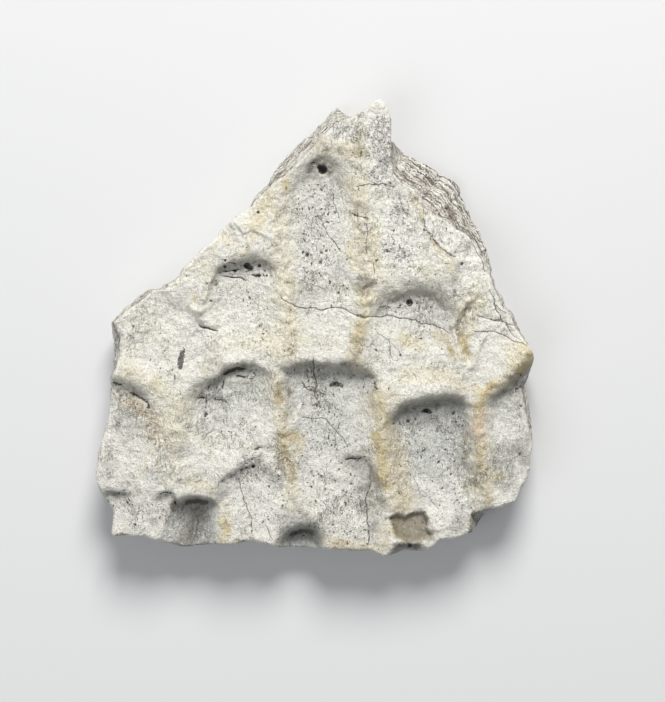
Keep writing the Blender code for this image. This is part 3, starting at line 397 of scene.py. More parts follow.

# what has coloured the bone, with painted shadow, painted shade and painted highlights among it, as soft
# lines: half width, strength, line
stains = {
    "yellow": [
        (0.9, 0.7, (4.8, 12), (5.4, 8.4)), (0.5, 0.8, (13.6, 18.8), (15, 17.2), (15.4, 15.4)),
        (0.8, 0.8, (11, -28.6), (12.6, -29.8)), (0.8, 1, (20.8, -4.2), (21.6, -1.2)),
        (0.9, 1.1, (-13.2, -27.6), (-12.6, -28.6), (-12.9, -29.8)),
        (1.3, 0.35, (5.2, 20), (5.4, 14), (5.8, 9)), (1, 0.6, (8.5, 13.4), (8.6, 7.6)),
        (0.9, 0.9, (-4.3, 20.4), (-4.6, 18.6)), (1.5, 0.75, (-6.2, 18.6), (-7.6, 15.6), (-8.6, 13.6)),
        (1.3, 0.35, (-3.8, 9), (-4, 6), (-3.4, 0)), (1.2, 0.5, (2, 27.6), (4.8, 26)),
        (1, 0.6, (18.2, 11), (19.4, 8)), (1.3, 0.6, (7.2, 3.8), (6.4, -2.6)),
        (1.2, 0.6, (9.2, -10), (9.6, -14)), (1.6, 0.5, (13, -1.4), (14.6, -2.6)),
        (1.9, 0.8, (30, -3.6), (28.6, -5)), (0.9, 0.6, (-22.4, -17.6), (-22.3, -20.6)),
        (1.3, 0.5, (-4.9, -15.4), (-3.9, -19.8)), (1.6, 0.4, (16.4, -6.8), (12.6, -7.8)),
        (1.6, 0.35, (-11.4, -1.8), (-7.4, -1.4)),
    ],
    "beige": [
        (0.9, 0.7, (-16.4, -5.6), (-15.2, -6.2)), (1, 0.9, (5, -3.8), (6.2, -4.6)),
        (0.8, 0.9, (-11.6, 10.8), (-10, 11)), (0.9, 0.8, (7.2, 5.2), (8.2, 4.6)),
        (0.9, 0.6, (-12.8, 12.6), (-11.4, 12.2)), (1.2, 0.7, (9.6, -29), (10, -31.2)),
        (1, 0.6, (9.4, 18.6), (9.6, 16.8)), (0.9, 0.8, (21.6, 1), (22.3, 0.3)),
        (1, 0.9, (22.4, -8.6), (23.4, -9.6)), (1.2, 0.8, (17.4, -1.2), (18.8, -1.8)),
        (0.9, 0.8, (-2.2, -16.2), (-2.6, -17.6)), (1.2, 0.7, (10.6, -9.6), (11.8, -10.2)),
        (1.1, 0.8, (-0.4, 26.2), (0.8, 26.9)), (1.6, 0.7, (18.6, -7.6), (20.6, -8.4)),
        (2.3, 0.8, (8.6, -11), (11.5, -18), (12.6, -25.4)),
        (1.3, 0.6, (-5, -12.5), (-4, -17), (-3.4, -22.5)), (1.2, 0.7, (2, -30.6), (9, -31.6)),
        (1.7, 0.7, (23.4, -11), (23.6, -18), (24.2, -24.5)),
        (1.6, 0.32, (-5.6, 12), (-5, 7), (-4.4, 1)), (1.5, 0.6, (6.4, 19), (6.7, 13), (7, 8)),
        (1.6, 0.6, (6.2, 0), (6.4, -5)), (1.8, 0.6, (-26.4, -10.2), (-24.2, -13), (-23.4, -16)),
        (1.3, 0.4, (-23.6, -17), (-22.2, -21)), (1.1, 0.5, (-15.4, -4.6), (-13.6, -5)),
        (1.2, 0.6, (-12.9, -25.6), (-12.6, -30.6)), (1.1, 0.6, (-18, -21.8), (-14.6, -23.4)),
        (1.3, 0.5, (28.4, -6.4), (25.6, -8.6), (22.8, -10.6)), (1, 0.5, (21.2, 1.6), (21.4, -3)),
        (1.8, 0.35, (12, -1.6), (15, -3.4)), (1.2, 0.7, (5.2, 24.8), (6.6, 27.6)),
        (1, 0.6, (-0.4, 25.4), (4, 25)), (1.2, 0.5, (9.6, 6.6), (7.2, 5.6), (6.4, 3)),
    ],
    "paintedShadow": [
        # painted shadow: near-black at the darkest feet of headwalls, under edges and in crevices
        (0.9, 0.35, (7.3, -23.2), (7.8, -25.4)),
        (0.6, 0.45, (-19.2, -25.6), (-17.2, -25), (-15.2, -25.6)),
        (2.4, 0.65, (-17.4, -27.4), (-17.9, -30)), (0.7, 0.35, (10.7, -14.2), (10.3, -16), (10.3, -18)),
        (0.6, 0.36, (7.6, -6.8), (8.4, -8), (8.5, -10.2), (8.2, -12.6)),
        (0.7, 0.5, (-22.3, -24.7), (-21.2, -24.6), (-20.3, -25.2)),
        (0.6, 0.35, (-17, -10.3), (-15.2, -8.6), (-13.3, -7.4), (-11.2, -6.6)),
        (0.28, 0.7, (10, -27.5), (12.5, -27.1), (15.6, -26.6)),
        (0.22, 0.5, (16.1, -27.6), (16.9, -29.6)),
        (0.22, 0.3, (15.4, 16.2), (15.5, 14.2), (16.8, 12.4), (18.3, 10.9), (19.8, 10)),
        (0.9, 0.25, (9.8, -14.2), (9.6, -16.4)),
        (0.45, 1.2, (-18.6, -25.2), (-17.2, -24.9), (-15.9, -25.2)),
        (0.55, 1, (-3.2, -29.8), (-1.9, -29.4), (-0.6, -29.7)),
        (0.7, 0.45, (13, -12), (16, -11.2), (20.4, -10.8)), (0.5, 0.3, (3, -6.2), (7.6, -7.2)),
        (0.6, 0.55, (-14.4, -7.6), (-12.6, -6.4), (-10.4, -5.9)),
        (0.8, 0.5, (26.6, -8.8), (28.6, -7.6), (30.4, -5.6)),
        (0.9, 0.55, (-1.6, 22.6), (-0.4, 23.6), (0.8, 23.2), (1.8, 22.6)),
        (0.35, 0.4, (8.8, 2.8), (10.6, 4), (12.6, 4.6)),
        (1.2, 0.25, (-11.6, 9.8), (-9.8, 10.3), (-7.8, 10.2)),
        (0.45, 0.6, (-21.4, -24.1), (-20.6, -24), (-20, -25.2)),
        (0.4, 0.3, (-27.2, -8.7), (-25.2, -9.9)), (0.6, 0.5, (-29.6, -23.8), (-26.8, -23.6)),
        (0.7, 0.7, (11.4, -31), (13, -30.7), (14.6, -31.2)), (0.4, 0.45, (-11.8, -21.4), (-9, -20.1)),
        (0.6, 0.4, (6, 6.2), (8.2, 5.6)),
    ],
    "chalkAndHighlight": [
        # whiter patches, and painted highlights along the lit lips, crests, folds and edges
        (0.8, 0.6, (-22, -27.2), (-21.2, -28.8)), (0.8, 0.9, (14, 22.9), (15.4, 22.3)),
        (1.5, 0.8, (-21, -6.4), (-20, -8.4)), (1.5, 0.8, (-11.8, -13.8), (-10.4, -14.8)),
        (1, 0.6, (-4.6, 19.6), (-3.8, 18.2)), (1, 0.5, (6.6, 15), (7, 13.6)),
        (1.2, 0.6, (0.4, 17), (1.2, 15.6)), (1.2, 0.8, (15.8, 13), (17.8, 12.2)),
        (1, 0.6, (29.2, -14.8), (30, -15.8)), (1.2, 0.7, (11.8, 17.8), (12.6, 16.4)),
        (1.4, 0.7, (1.6, -26), (2.8, -26.8)), (1.3, 0.5, (-18.4, -13.8), (-17.2, -14.2)),
        (1.3, 0.6, (-26.6, -0.6), (-25.6, -1.4)), (1.2, 0.7, (10.6, 10.2), (11.8, 9)),
        (1.2, 0.8, (-1.6, 8.2), (0, 8.6)), (1.6, 0.6, (-0.2, -10.2), (0.6, -11.6)),
        (1, 0.9, (15.2, 18.9), (18.6, 17.2)), (1, 0.7, (-5.2, 19.6), (-4.8, 17.8)),
        (0.9, 0.7, (10.4, 25.8), (10.8, 24)), (1.4, 0.5, (-0.8, 16.4), (-0.2, 14.6)),
        (1.4, 0.7, (-15, -14.8), (-13.8, -15.4)), (1.4, 0.6, (25.8, -14), (27.2, -15)),
        (1.5, 1.2, (2.4, 28.6), (4.6, 27.6)), (1.4, 1.2, (-22.2, -18.8), (-22.9, -21.6)),
        (1, 0.6, (-3.4, 20.6), (-2.4, 22.4)), (1.6, 1.3, (20.4, 13), (23.4, 11.4)),
        (0.2, 1, (19.7, 0.4), (19.9, -0.8), (20.4, -2.9), (21.3, -5.4)),
        (0.22, 0.8, (23.8, -1.4), (23.1, -3.8), (22.3, -5.8)),
        (0.22, 0.8, (-13.9, 8.6), (-14.5, 7.4), (-15.3, 5.4), (-16.1, 3.6), (-16.8, 2.2)),
        (0.4, 0.8, (-13.8, 8.9), (-12.6, 10.3), (-10.2, 11.3)),
        (0.25, 0.8, (-9.1, 13.6), (-7.6, 13.1), (-5.9, 12.3)),
        (0.25, 0.9, (17.3, 11.2), (18.4, 10.2), (19.8, 9.4)),
        (0.22, 0.8, (5.2, 15.8), (6.4, 15.4), (7.8, 15)), (0.7, 0.7, (-28.2, -1), (-28.2, -6)),
        (3.2, 0.5, (-23, -1.5), (-18, -4.5)), (1.5, 0.8, (-11.6, -16.6), (-12.6, -14.4)),
        (1.6, 0.5, (-14.4, 0.8), (-12.4, -3.6)), (1.2, 0.6, (15.4, 18), (18.6, 14.4)),
        (1.4, 0.5, (18.2, -19.6), (20.4, -23)), (1.6, 1.25, (9, 31), (9.6, 26), (9.8, 21.6)),
        (1.8, 0.9, (16.4, 14.2), (19, 11.8), (23, 11)), (1.2, 0.6, (-4, -4), (0, -3.6), (4, -4)),
        (1.2, 0.6, (12, -9.4), (18.6, -8.6)), (0.5, 0.9, (19.4, 20.8), (20.8, 20), (21, 18.8)),
        (0.5, 0.6, (12.2, 25.4), (16, 23.4), (18.4, 21.9)),
        (2.2, 0.6, (-23, -3), (-19, -7.4), (-21.5, -10.6)), (1.6, 0.7, (-13.6, -17), (-11.6, -18.4)),
        (2, 0.5, (-8, -24), (-8.4, -28)), (1.6, 0.6, (0.6, -18.6), (0.6, -21.4)),
        (1.2, 0.7, (14.6, -22), (18.6, -24.6), (18.4, -28)), (1.8, 0.5, (-14.6, 0.8), (-9, -1.6)),
        (1.2, 0.5, (24.9, -2.4), (25.4, -5.4)), (2.2, 0.75, (10, 17.6), (11.6, 14.6), (12.6, 9.6)),
        (0.26, 0.7, (-2.1, -11.3), (-2.6, -12.9), (-3.3, -13.9), (-4.6, -14.5), (-5.4, -15.1)),
        (1.8, 0.35, (0.4, 17), (1.4, 11)), (2, 0.5, (-0.2, 3.6), (0.6, -1.6)),
    ],
    "ochre": [
        (0.8, 0.5, (-3.9, -2.6), (-3.4, -4.2)), (0.9, 0.55, (6.3, 0.8), (6.1, -1), (6.2, -3.2)),
        (0.9, 0.45, (6.4, 4.2), (7, 3), (6.6, 2.2)),
        (0.9, 0.32, (-3, 6.5), (-2.9, 5), (-3.6, 3), (-3.2, 1), (-3.5, -1), (-3.3, -3.6)),
        (0.7, 0.95, (-5.2, -8.3), (-5.2, -10.6)),
        (0.9, 0.75, (-4.6, -15.7), (-3.6, -16.2), (-2.9, -15.4)),
        (0.7, 0.85, (-4.8, -17.2), (-4.2, -18.8), (-3.4, -19.6)),
        (0.8, 0.65, (-3.5, -19.8), (-3.2, -21.6)), (1, 0.3, (-3, -22.5), (-2.9, -25)),
        (1.2, 0.35, (9.3, -8), (9, -12)), (0.6, 0.6, (10.6, -12.4), (10.3, -14)),
        (1.1, 1.05, (8.6, -15.5), (9.2, -17.5), (9.7, -20), (9.6, -21.6), (10.3, -22.8)),
        (1.8, 0.28, (12.5, -21.5), (12.8, -24), (11.6, -26.5)),
        (0.75, 1, (25.2, -8.2), (24.2, -9), (23.4, -10.2), (22.9, -11.2)),
        (0.7, 0.75, (23.7, -17), (23.5, -18.8), (23.8, -20.2)),
        (0.8, 0.8, (30.8, -4), (30.2, -5.4), (29, -6.2)), (1, 0.35, (28.2, -2.4), (29.6, -3)),
        (0.55, 0.9, (20.7, -1.2), (21.3, -2.6), (21.9, -4.2)), (0.6, 0.85, (19.3, -3.2), (20, -4.6)),
        (1.4, 0.32, (12.5, -1.8), (14.2, -2.2)), (0.7, 0.6, (-13, -28.2), (-12.6, -29.4)),
        (0.6, 0.6, (-4.2, 20.9), (-4.3, 19.6)), (0.55, 0.7, (-17.4, 4.2), (-17.2, 3.5)),
        (0.9, 0.45, (6.8, 27), (6.4, 25), (5.6, 23.6)), (0.7, 0.25, (8.6, 12), (8.5, 7.4)),
        (0.35, 0.6, (15.3, 15.6), (15.5, 14.2), (16.8, 12.2), (18.4, 10.7), (19.6, 10)),
        (0.7, 0.5, (17.4, 11), (18.4, 10.2)), (1.2, 0.25, (16, 7), (19.2, 7.2)),
        (0.8, 0.32, (-22.4, -18.4), (-22.3, -20.6)), (1, 0.35, (-19, -21.8), (-16.4, -22.4)),
        (0.6, 0.9, (11.4, -27.8), (11.9, -29.6)), (0.8, 0.4, (3, -30.8), (5.2, -30.4)),
        (1.2, 0.3, (-0.6, -24.8), (-2.6, -25.6)), (1, 0.3, (-10, -17.4), (-8.2, -16.8)),
        (1, 0.12, (0.6, -16), (-0.6, -14.6)),
    ],
    "brown": [
        (1, 0.7, (14.9, -29.9), (16.4, -29.6)), (0.5, 0.6, (-4.4, -8.8), (-3.7, -9.6), (-3.8, -10.4)),
        (0.35, 0.6, (-5.6, -16.8), (-5, -18.2), (-5.5, -19.4), (-4.6, -20.6)),
        (0.3, 0.55, (7.4, -18.6), (7.9, -20.4), (7.7, -22)),
        (0.5, 0.55, (-0.8, 22.6), (-0.2, 23.8), (1, 24), (2.2, 23.2), (2.4, 21.8)),
        (0.7, 0.35, (-0.2, 21.4), (0.8, 21.2)), (0.6, 0.55, (6.2, 7.2), (7.6, 6.2), (8.6, 6.4)),
        (0.35, 0.6, (-6, -8.4), (-5.4, -9.8), (-4.3, -10.6)),
        (0.4, 0.9, (-30.4, -29.3), (-29.4, -29.7)), (0.3, 0.8, (-23.6, -30.6), (-21, -31.3)),
        (0.4, 0.8, (-11.3, -30.7), (-10.3, -31.1)), (0.45, 0.6, (0.4, 25.6), (1.6, 25.2)),
        (0.4, 0.45, (2.2, 25.6), (3.6, 25.4)), (0.7, 0.35, (-19.6, -21.8), (-18.9, -22.9)),
        (0.35, 0.8, (-20.6, -25.5), (-20.3, -26.4)),
        (1, 1.5, (23, -27.2), (23.6, -27.9), (22.9, -29.2)), (0.8, 0.3, (5.8, 27), (5.4, 24.2)),
        (0.8, 0.6, (6.3, -3.4), (5.6, -4.6), (4.4, -4.9)),
        (0.7, 0.45, (-15.4, -4.4), (-14.2, -4.8), (-13.2, -5.2)),
        (0.65, 0.8, (-3.9, -8.8), (-3.7, -9.8)), (0.35, 0.6, (-5.2, -8.6), (-5.1, -10)),
        (0.36, 0.75, (22.8, 2.9), (21.6, 2.6), (20.8, 1.2), (20.4, 0), (20.5, -1.6)),
        (0.4, 0.4, (22, 2.9), (22.6, 3.2)), (0.6, 0.5, (7.4, 7.4), (7.2, 5.4), (6.6, 4.6)),
        (0.5, 0.5, (-4.9, -18.2), (-4.1, -19.2)), (0.8, 0.5, (27.4, -7), (28.2, -8)),
        (0.8, 0.45, (21.9, -14.2), (21.6, -16), (21.7, -18.4)), (0.6, 0.45, (0.9, 25.9), (1.9, 25.6)),
        (0.6, 0.3, (3.2, 25.8), (4.8, 25.6)), (0.4, 0.8, (-28.4, -29.7), (-27.6, -29.7)),
        (0.4, 0.7, (-24, -30.5), (-22.6, -30.7)), (0.45, 0.8, (-10.8, -30.7), (-9.9, -30.6)),
        (0.3, 0.55, (3, -31.6), (7.4, -31.9)), (0.25, 0.5, (-12.9, -27.3), (-12.3, -28.2)),
        (0.9, 0.3, (9.2, -23), (8.4, -24.6)), (1, 0.35, (24.3, -21.6), (23, -22)),
    ],
    "peach": [
        (0.95, 0.85, (23.3, -12.4), (23.2, -14.2), (23.6, -16.2)),
        (0.6, 0.5, (22, -14.6), (21.4, -15.4)), (0.8, 0.5, (24.4, -23.6), (24.4, -25.4)),
        (1.2, 0.6, (-26.8, -11), (-25, -12.2), (-23.2, -13.4), (-22.7, -15.2)),
        (0.8, 0.6, (19, 17.4), (19.8, 16.6), (19.2, 15.8)),
        (0.4, 0.4, (13, 20.6), (15.2, 18.6), (17, 16.4)), (0.8, 0.3, (-5, -10.2), (-4.8, -12.6)),
        (0.8, 0.3, (12.3, -18), (12.6, -20)), (0.5, 0.35, (7, -16.8), (7.6, -18.2)),
        (0.3, 0.5, (-28.9, -0.6), (-28.9, -3)),
    ],
    "oliveAndShade": [
        # olive patches, and painted shade above the ear's headwall and in the hollow near the lower right
        (1.1, 0.55, (21.6, -23.2), (23.4, -23.4)), (0.9, 0.6, (5.6, 5.2), (6.8, 4.8)),
        (0.9, 0.4, (-14.8, -4.6), (-13.6, -4.9)), (0.8, 0.4, (-2.9, 6.4), (-2.7, 4.8)),
        (0.9, 0.75, (22.6, -21.8), (26.2, -21.4)), (0.7, 0.5, (21.5, -16.5), (21.9, -19.8)),
        (1, 0.25, (-28.4, -9.6), (-25.8, -11)),
        (0.5, 0.35, (-19.6, -24.8), (-18.4, -23.4), (-16.8, -23.1), (-15.2, -23.9)),
        (1, 0.6, (23.2, -21.4), (25, -21.2), (26, -21)), (0.8, 0.35, (23.4, -17.4), (24, -19.6)),
        (0.7, 0.3, (17, -20.8), (17.4, -22)), (0.7, 0.35, (-25.6, -22), (-25.8, -23.4)),
        (0.7, 0.25, (28.6, -16.4), (28, -18.2)),
    ],
    "cream": [
        (1.2, 0.9, (2, 27.8), (3.6, 27.2), (4.6, 26.4)), (0.7, 0.7, (5.4, 28.6), (5.6, 27.4)),
        (2.6, 0.5, (-22, -2), (-19.6, -7), (-21.8, -10)), (2, 0.7, (-13, -2.2), (-7, -2.2)),
        (1.8, 0.6, (-1, -2), (3.5, -2.4)), (2, 0.7, (13.5, -6.6), (18.5, -7.4)),
        (1.4, 0.6, (-12.6, 13.2), (-14.4, 10.8), (-16.2, 7.8)), (1.5, 0.5, (10.5, 8.4), (17.5, 8.4)),
        (1.6, 0.5, (22, 7.5), (24, 3.4)), (1.4, 0.5, (-15, 11), (-20, 6)),
        (2.2, 0.4, (-17.8, -16.6), (-13.8, -17), (-11.4, -15.2)),
        (1.8, 0.5, (13.2, -23), (12.4, -25.4)),
    ],
    "ashAndShade": [
        # grey patches, and painted shade on the scoops' floors and their shaded sides
        (1.5, 0.5, (13.4, -13.4), (16.4, -12.8), (20.4, -12.6)),
        (1.1, 0.5, (-26.4, -25.2), (-25.2, -26.2)), (1.1, 0.5, (-28.2, -22.4), (-27, -22)),
        (1.2, 0.5, (0, 21.2), (0.6, 20.4)), (0.9, 0.8, (6.6, -23.2), (6.9, -26.2)),
        (1.1, 0.6, (20, -21), (21.2, -21.8)), (0.9, 0.5, (-17.6, -0.9), (-16.6, -0.5)),
        (1.6, 0.5, (-3, -24.6), (-1.2, -25.4)), (1.2, 0.8, (-14.4, -24.8), (-12.8, -23.8)),
        (1.4, 0.6, (-2.6, 4), (0.8, 5.2)), (1.2, 0.5, (3.2, 8.4), (4.6, 7.2)),
        (1.4, 0.4, (-23.4, -25.6), (-22, -27.6)), (0.9, 0.7, (-29, -23.6), (-27.2, -24.2)),
        (1.1, 0.8, (-10.4, -19.2), (-8, -18.4)),
        (1, 0.75, (-13.7, -22.9), (-12.2, -21.9), (-10, -20.8), (-7.2, -20.7), (-5.2, -21.8)),
        (2.4, 0.3, (-9.6, -22), (-8.4, -24.2)), (1.3, 0.9, (29.6, -16.4), (30, -19.4)),
        (1.3, 0.7, (-4.4, -27.4), (-1.4, -27.2)), (1.4, 0.8, (8.8, -25.2), (8.4, -28.4)),
        (1.5, 0.75, (19.6, -28.4), (21.2, -27.6)),
        (1.1, 0.6, (-7, 20.6), (-4.6, 23.4), (-1.5, 26.4), (1.8, 29.6)),
        (2.4, 0.25, (-0.4, 19), (-0.8, 13), (-1.4, 10)), (1.6, 0.45, (-1.8, 5.6), (-0.4, 4.6)),
        (1.2, 0.25, (11.5, 19.5), (12, 15.5)), (2.6, 0.55, (-26.2, -10.5), (-26.8, -15)),
        (1.4, 0.4, (-29.2, -18.5), (-29.6, -22.5)), (1.2, 0.45, (-20.2, -17.8), (-18.6, -17.2)),
        (1.3, 0.55, (-28.5, -23.8), (-26.2, -26)), (1.3, 0.45, (-16.8, -10.6), (-14.6, -9.2)),
        (1.2, 0.5, (-10.4, -18.2), (-7.8, -17), (-5, -16)), (1.2, 0.45, (-4.4, -18), (-3.4, -20.6)),
        (1.3, 0.85, (5.4, -19.2), (7.6, -21.8), (8.8, -25.2)), (2.6, 0.75, (26.8, -18), (27.2, -22)),
        (1.6, 0.45, (-25.6, -23), (-23, -27.6)), (1.8, 0.5, (11.6, -13.6), (16, -13.4), (21, -13.6)),
        (1.4, 0.55, (20.4, -15), (20.8, -19.6)), (1.6, 0.3, (21.6, -20.8), (23.6, -22.4), (26, -20.6)),
        (0.9, 0.95, (27.8, -20.4), (28.7, -16.8), (29.8, -15.4)), (1.2, 0.65, (6.4, 7), (7.6, 5.6)),
        (1.2, 0.55, (2.4, 26), (6, 25.6)), (1.7, 0.5, (-0.6, 22.8), (2.6, 23.2)),
        (1.5, 0.5, (-13, 8.2), (-7.4, 8.6)), (0.7, 0.5, (-20.6, 3), (-19.4, 3)),
        (1.2, 0.7, (19.2, 8.8), (20.2, 9), (19.6, 6.4)),
        (0.8, 0.3, (10.2, 3.9), (12.6, 3.4), (17.6, 2.8)), (1.6, 1.3, (-17.8, -26), (-18.8, -30.4)),
        (1.5, 0.9, (-17, -26), (-15.6, -30.4)), (1.8, 1, (-2.9, -29.4), (-0.4, -29.6)),
        (1, 0.7, (12.4, -31.2), (14.4, -31.2)),
    ],
    "charcoal": [
        (0.42, 1, (-18.85, -3.4), (-18.95, -4.4), (-19.15, -5.2), (-19.2, -5.7)),
        (0.14, 0.7, (-19.2, -2.75), (-18.7, -2.65), (-18.6, -2.9)),
        (0.16, 0.8, (-18.5, -3.9), (-18.3, -4)),
    ],
}

# where hair cracks join up in a web, in the same way
webs = [
    (1.6, 1.1, (4.4, 27.6), (6.6, 26.4), (6.2, 23.4)), (2, 0.8, (-27, -10), (-24.6, -14)),
    (1.7, 1, (9.2, 28.6), (9.4, 25), (9.8, 21.2)), (1.1, 0.7, (6.4, 28), (6.6, 24)),
    (1.5, 0.6, (3.4, 29.4), (1, 25.6)), (1.6, 0.7, (7.6, 21.6), (10.8, 19)),
    (2, 0.6, (11.6, 18), (12.4, 11.4)), (1.2, 0.6, (-0.6, 6.6), (-0.2, 1)),
    (1.6, 0.7, (-0.4, -6.8), (0.8, -11.5)), (1.2, 0.7, (-16.2, -10.2), (-12.8, -10.8)),
    (1.4, 1, (-24.4, -16), (-21.6, -17)), (1.3, 0.7, (-10.4, -17), (-7.8, -18.6)),
    (3, 0.5, (0, -22.5), (5, -29)), (1.6, 0.35, (16.5, 14.2), (22.2, 11)),
    (1.6, 0.5, (9.2, 3.6), (16, 2.6)), (2, 0.4, (13, -14), (20, -14.5)),
    (1.3, 0.6, (-29.2, -18), (-30, -22.5)), (1.3, 0.6, (-6.4, -16.4), (-4.2, -20)),
]

# and where small canal openings crowd together, beyond the scoops' own floors
speckled = [
    (1, 1.3, (10, 2.4), (16.4, 2)), (0.8, 1, (-12.4, 7.4), (-8, 6.8)),
    (1, 1.8, (-9.8, -19), (-8.4, -17.8)), (0.9, 1.2, (-22.8, -25), (-21.8, -26.8)),
    (1.4, 1.3, (-27.2, -25.8), (-25.4, -26.8)), (2, 0.9, (-8.6, -21.8), (-5.4, -24.6)),
    (1.3, 1.2, (12.6, -14.6), (13.8, -16.4)), (1.6, 1.9, (10, 28.2), (9.2, 24.4), (8.8, 21.2)),
    (1.1, 1.6, (11.6, 17), (12.6, 14.6)), (1.1, 1.4, (10.2, 11.4), (11.4, 9.6)),
    (2, 1.4, (11.6, 13), (12.6, 10.2)), (2.2, 1.1, (-0.6, 19), (0.4, 12), (1.4, 8.4)),
    (3.4, 0.5, (-9.5, 9), (-8, 1.5)), (1.8, 1, (12.8, -15), (14.6, -17.6)),
    (2.4, 0.9, (-0.4, -8), (0.8, -16)), (3.2, 0.9, (2, -22), (5, -28)), (3, 0.7, (-7, -22), (-6, -27)),
    (2.6, 0.6, (18, -18), (20, -26)), (2.2, 0.35, (-22, -2), (-21, -5)),
    (1.6, 0.7, (17, 14), (20, 11.5)),
]

relief = {                             # soft lumps: height, size and seed of each
    "jag": [(0.16, 2.3, 31), (0.11, 1.1, 32), (0.06, 0.55, 33)],      # the ragged outline
    "bendX": [(0.35, 7.0, 11), (0.25, 2.6, 12), (0.15, 1.1, 15)],     # so that no drawn form is ruled
    "bendY": [(0.35, 7.0, 13), (0.25, 2.6, 14), (0.15, 1.1, 16)],
    "nudgeX": [(0.10, 1.0, 25)],                                      # the same for small marks
    "nudgeY": [(0.10, 1.0, 26)],
    "face": [(0.22, 5.0, 21), (0.15, 2.2, 22)],
    "ribs": [(0.22, 1.4, 28), (0.132, 0.7, 29)],
    "skin": [(0.10, 1.1, 23), (0.07, 0.62, 24)],
    "fibres": [(0.05, 0.8, 27)],
    "leaves": [(0.5, 4.0, 41), (0.18, 1.3, 42)],
    "flank": [(0.16, 1.3, 43), (0.10, 0.6, 44)],
    "flankSkin": [(0.05, 0.7, 45)],
    "pocketX": [(0.12, 0.9, 46)],
    "pocketY": [(0.12, 0.9, 47)],
    "under": [(0.5, 6.0, 51), (0.3, 2.5, 52)],
}


def wandering(line, seed):         # the same line with little kinks of its own
    dice = np.random.default_rng(seed)
    for sway in (0.10, 0.14):
        kinked = [line[0]]
        for start, end in zip(line, line[1:]):
            span, shift = math.dist(start, end), sway * dice.uniform(-1, 1)
            if span > 0.7:
                kinked.append(((start[0] + end[0]) / 2 - shift * (end[1] - start[1]),
                               (start[1] + end[1]) / 2 + shift * (end[0] - start[0])))
            kinked.append(end)
        line = kinked
    return line


for family in (cracks, sideCracks):
    for number, (half, *line) in enumerate(family):
        family[number] = (half, *wandering(line, number))


# maths on whole arrays of places

def smooth(t):
    t = np.clip(t, 0, 1)
    return t * t * (3 - 2 * t)


def bell(gap, half):
    return np.exp(-(gap / half) ** 2)


def fading(walked, sharpness):    # 1 along a line, 0 at both its ends
    return smooth(sharpness * walked * (1 - walked))


def lumps(x, y, size, seed):      # soft noise, about -1 to 1, with lumps of that size
    lattice = 64
    lean = np.random.default_rng(seed).uniform(0, 2 * np.pi, (lattice, lattice))
    column, row = np.floor(x / size).astype(int), np.floor(y / size).astype(int)
    u, v = x / size - column, y / size - row

    def corner(right, up):
        angle = lean[(column + right) % lattice, (row + up) % lattice]
        return np.cos(angle) * (u - right) + np.sin(angle) * (v - up)

    low = corner(0, 0) + smooth(u) * (corner(1, 0) - corner(0, 0))
    high = corner(0, 1) + smooth(u) * (corner(1, 1) - corner(0, 1))
    return 1.5 * (low + smooth(v) * (high - low))


def lumpy(x, y, name):
    return sum(height * lumps(x, y, size, seed) for height, size, seed in relief[name])


def bent(x, y):
    return x + lumpy(x, y, "bendX"), y + lumpy(x, y, "bendY")


def nudged(x, y):
    return x + lumpy(x, y, "nudgeX"), y + lumpy(x, y, "nudgeY")


def fromLine(x, y, line):
    # distance to a line of straight runs, the side it lies on (left positive), and the share walked
    nearest, side, walked = np.full(x.shape, np.inf), np.ones(x.shape), np.zeros(x.shape)
    runs = list(zip(line, line[1:]))
    whole = sum(math.dist(start, end) for start, end in runs)
    before = 0
    for start, end in runs:
        run, rise = end[0] - start[0], end[1] - start[1]
        span = math.dist(start, end)
        share = np.clip(((x - start[0]) * run + (y - start[1]) * rise) / span ** 2, 0, 1)
        gap = np.hypot(x - start[0] - share * run, y - start[1] - share * rise)
        closer = gap < nearest
        nearest = np.where(closer, gap, nearest)
        side = np.where(closer, np.sign(run * (y - start[1]) - rise * (x - start[0])), side)
        walked = np.where(closer, (before + share * span) / whole, walked)
        before += span
    return nearest, side, walked


def depthInside(x, y, corners):   # how far inside a polygon, and 0 outside it
    odd = np.zeros(x.shape, bool)
    for (x0, y0), (x1, y1) in zip(corners, corners[1:] + corners[:1]):
        if y0 != y1:
            odd ^= ((y0 > y) != (y1 > y)) & (x < x0 + (y - y0) * (x1 - x0) / (y1 - y0))
    return np.where(odd, fromLine(x, y, corners + corners[:1])[0], 0)


# the outline in polar form: every way out from the middle meets it once

cornerX, cornerY, cornerFlank = np.array(outline).T
cornerTurn = np.arctan2(cornerY, cornerX)
cornerReach = np.hypot(cornerX, cornerY)
middle = (cornerX.min() + cornerX.max()) / 2, (cornerY.min() + cornerY.max()) / 2


def outlineReach(turn):
    reach = np.interp(turn, cornerTurn, cornerReach, period=2 * np.pi)
    return reach + lumpy(reach * np.cos(turn), reach * np.sin(turn), "jag") - body["trim"]


def flankWidth(turn):
    return np.interp(turn, cornerTurn, cornerFlank, period=2 * np.pi)


def undercut(turn):
    north, south = body["undercut"]
    return north + (south - north) * (1 - np.sin(turn)) / 2


# the pitted face as a height over the floor

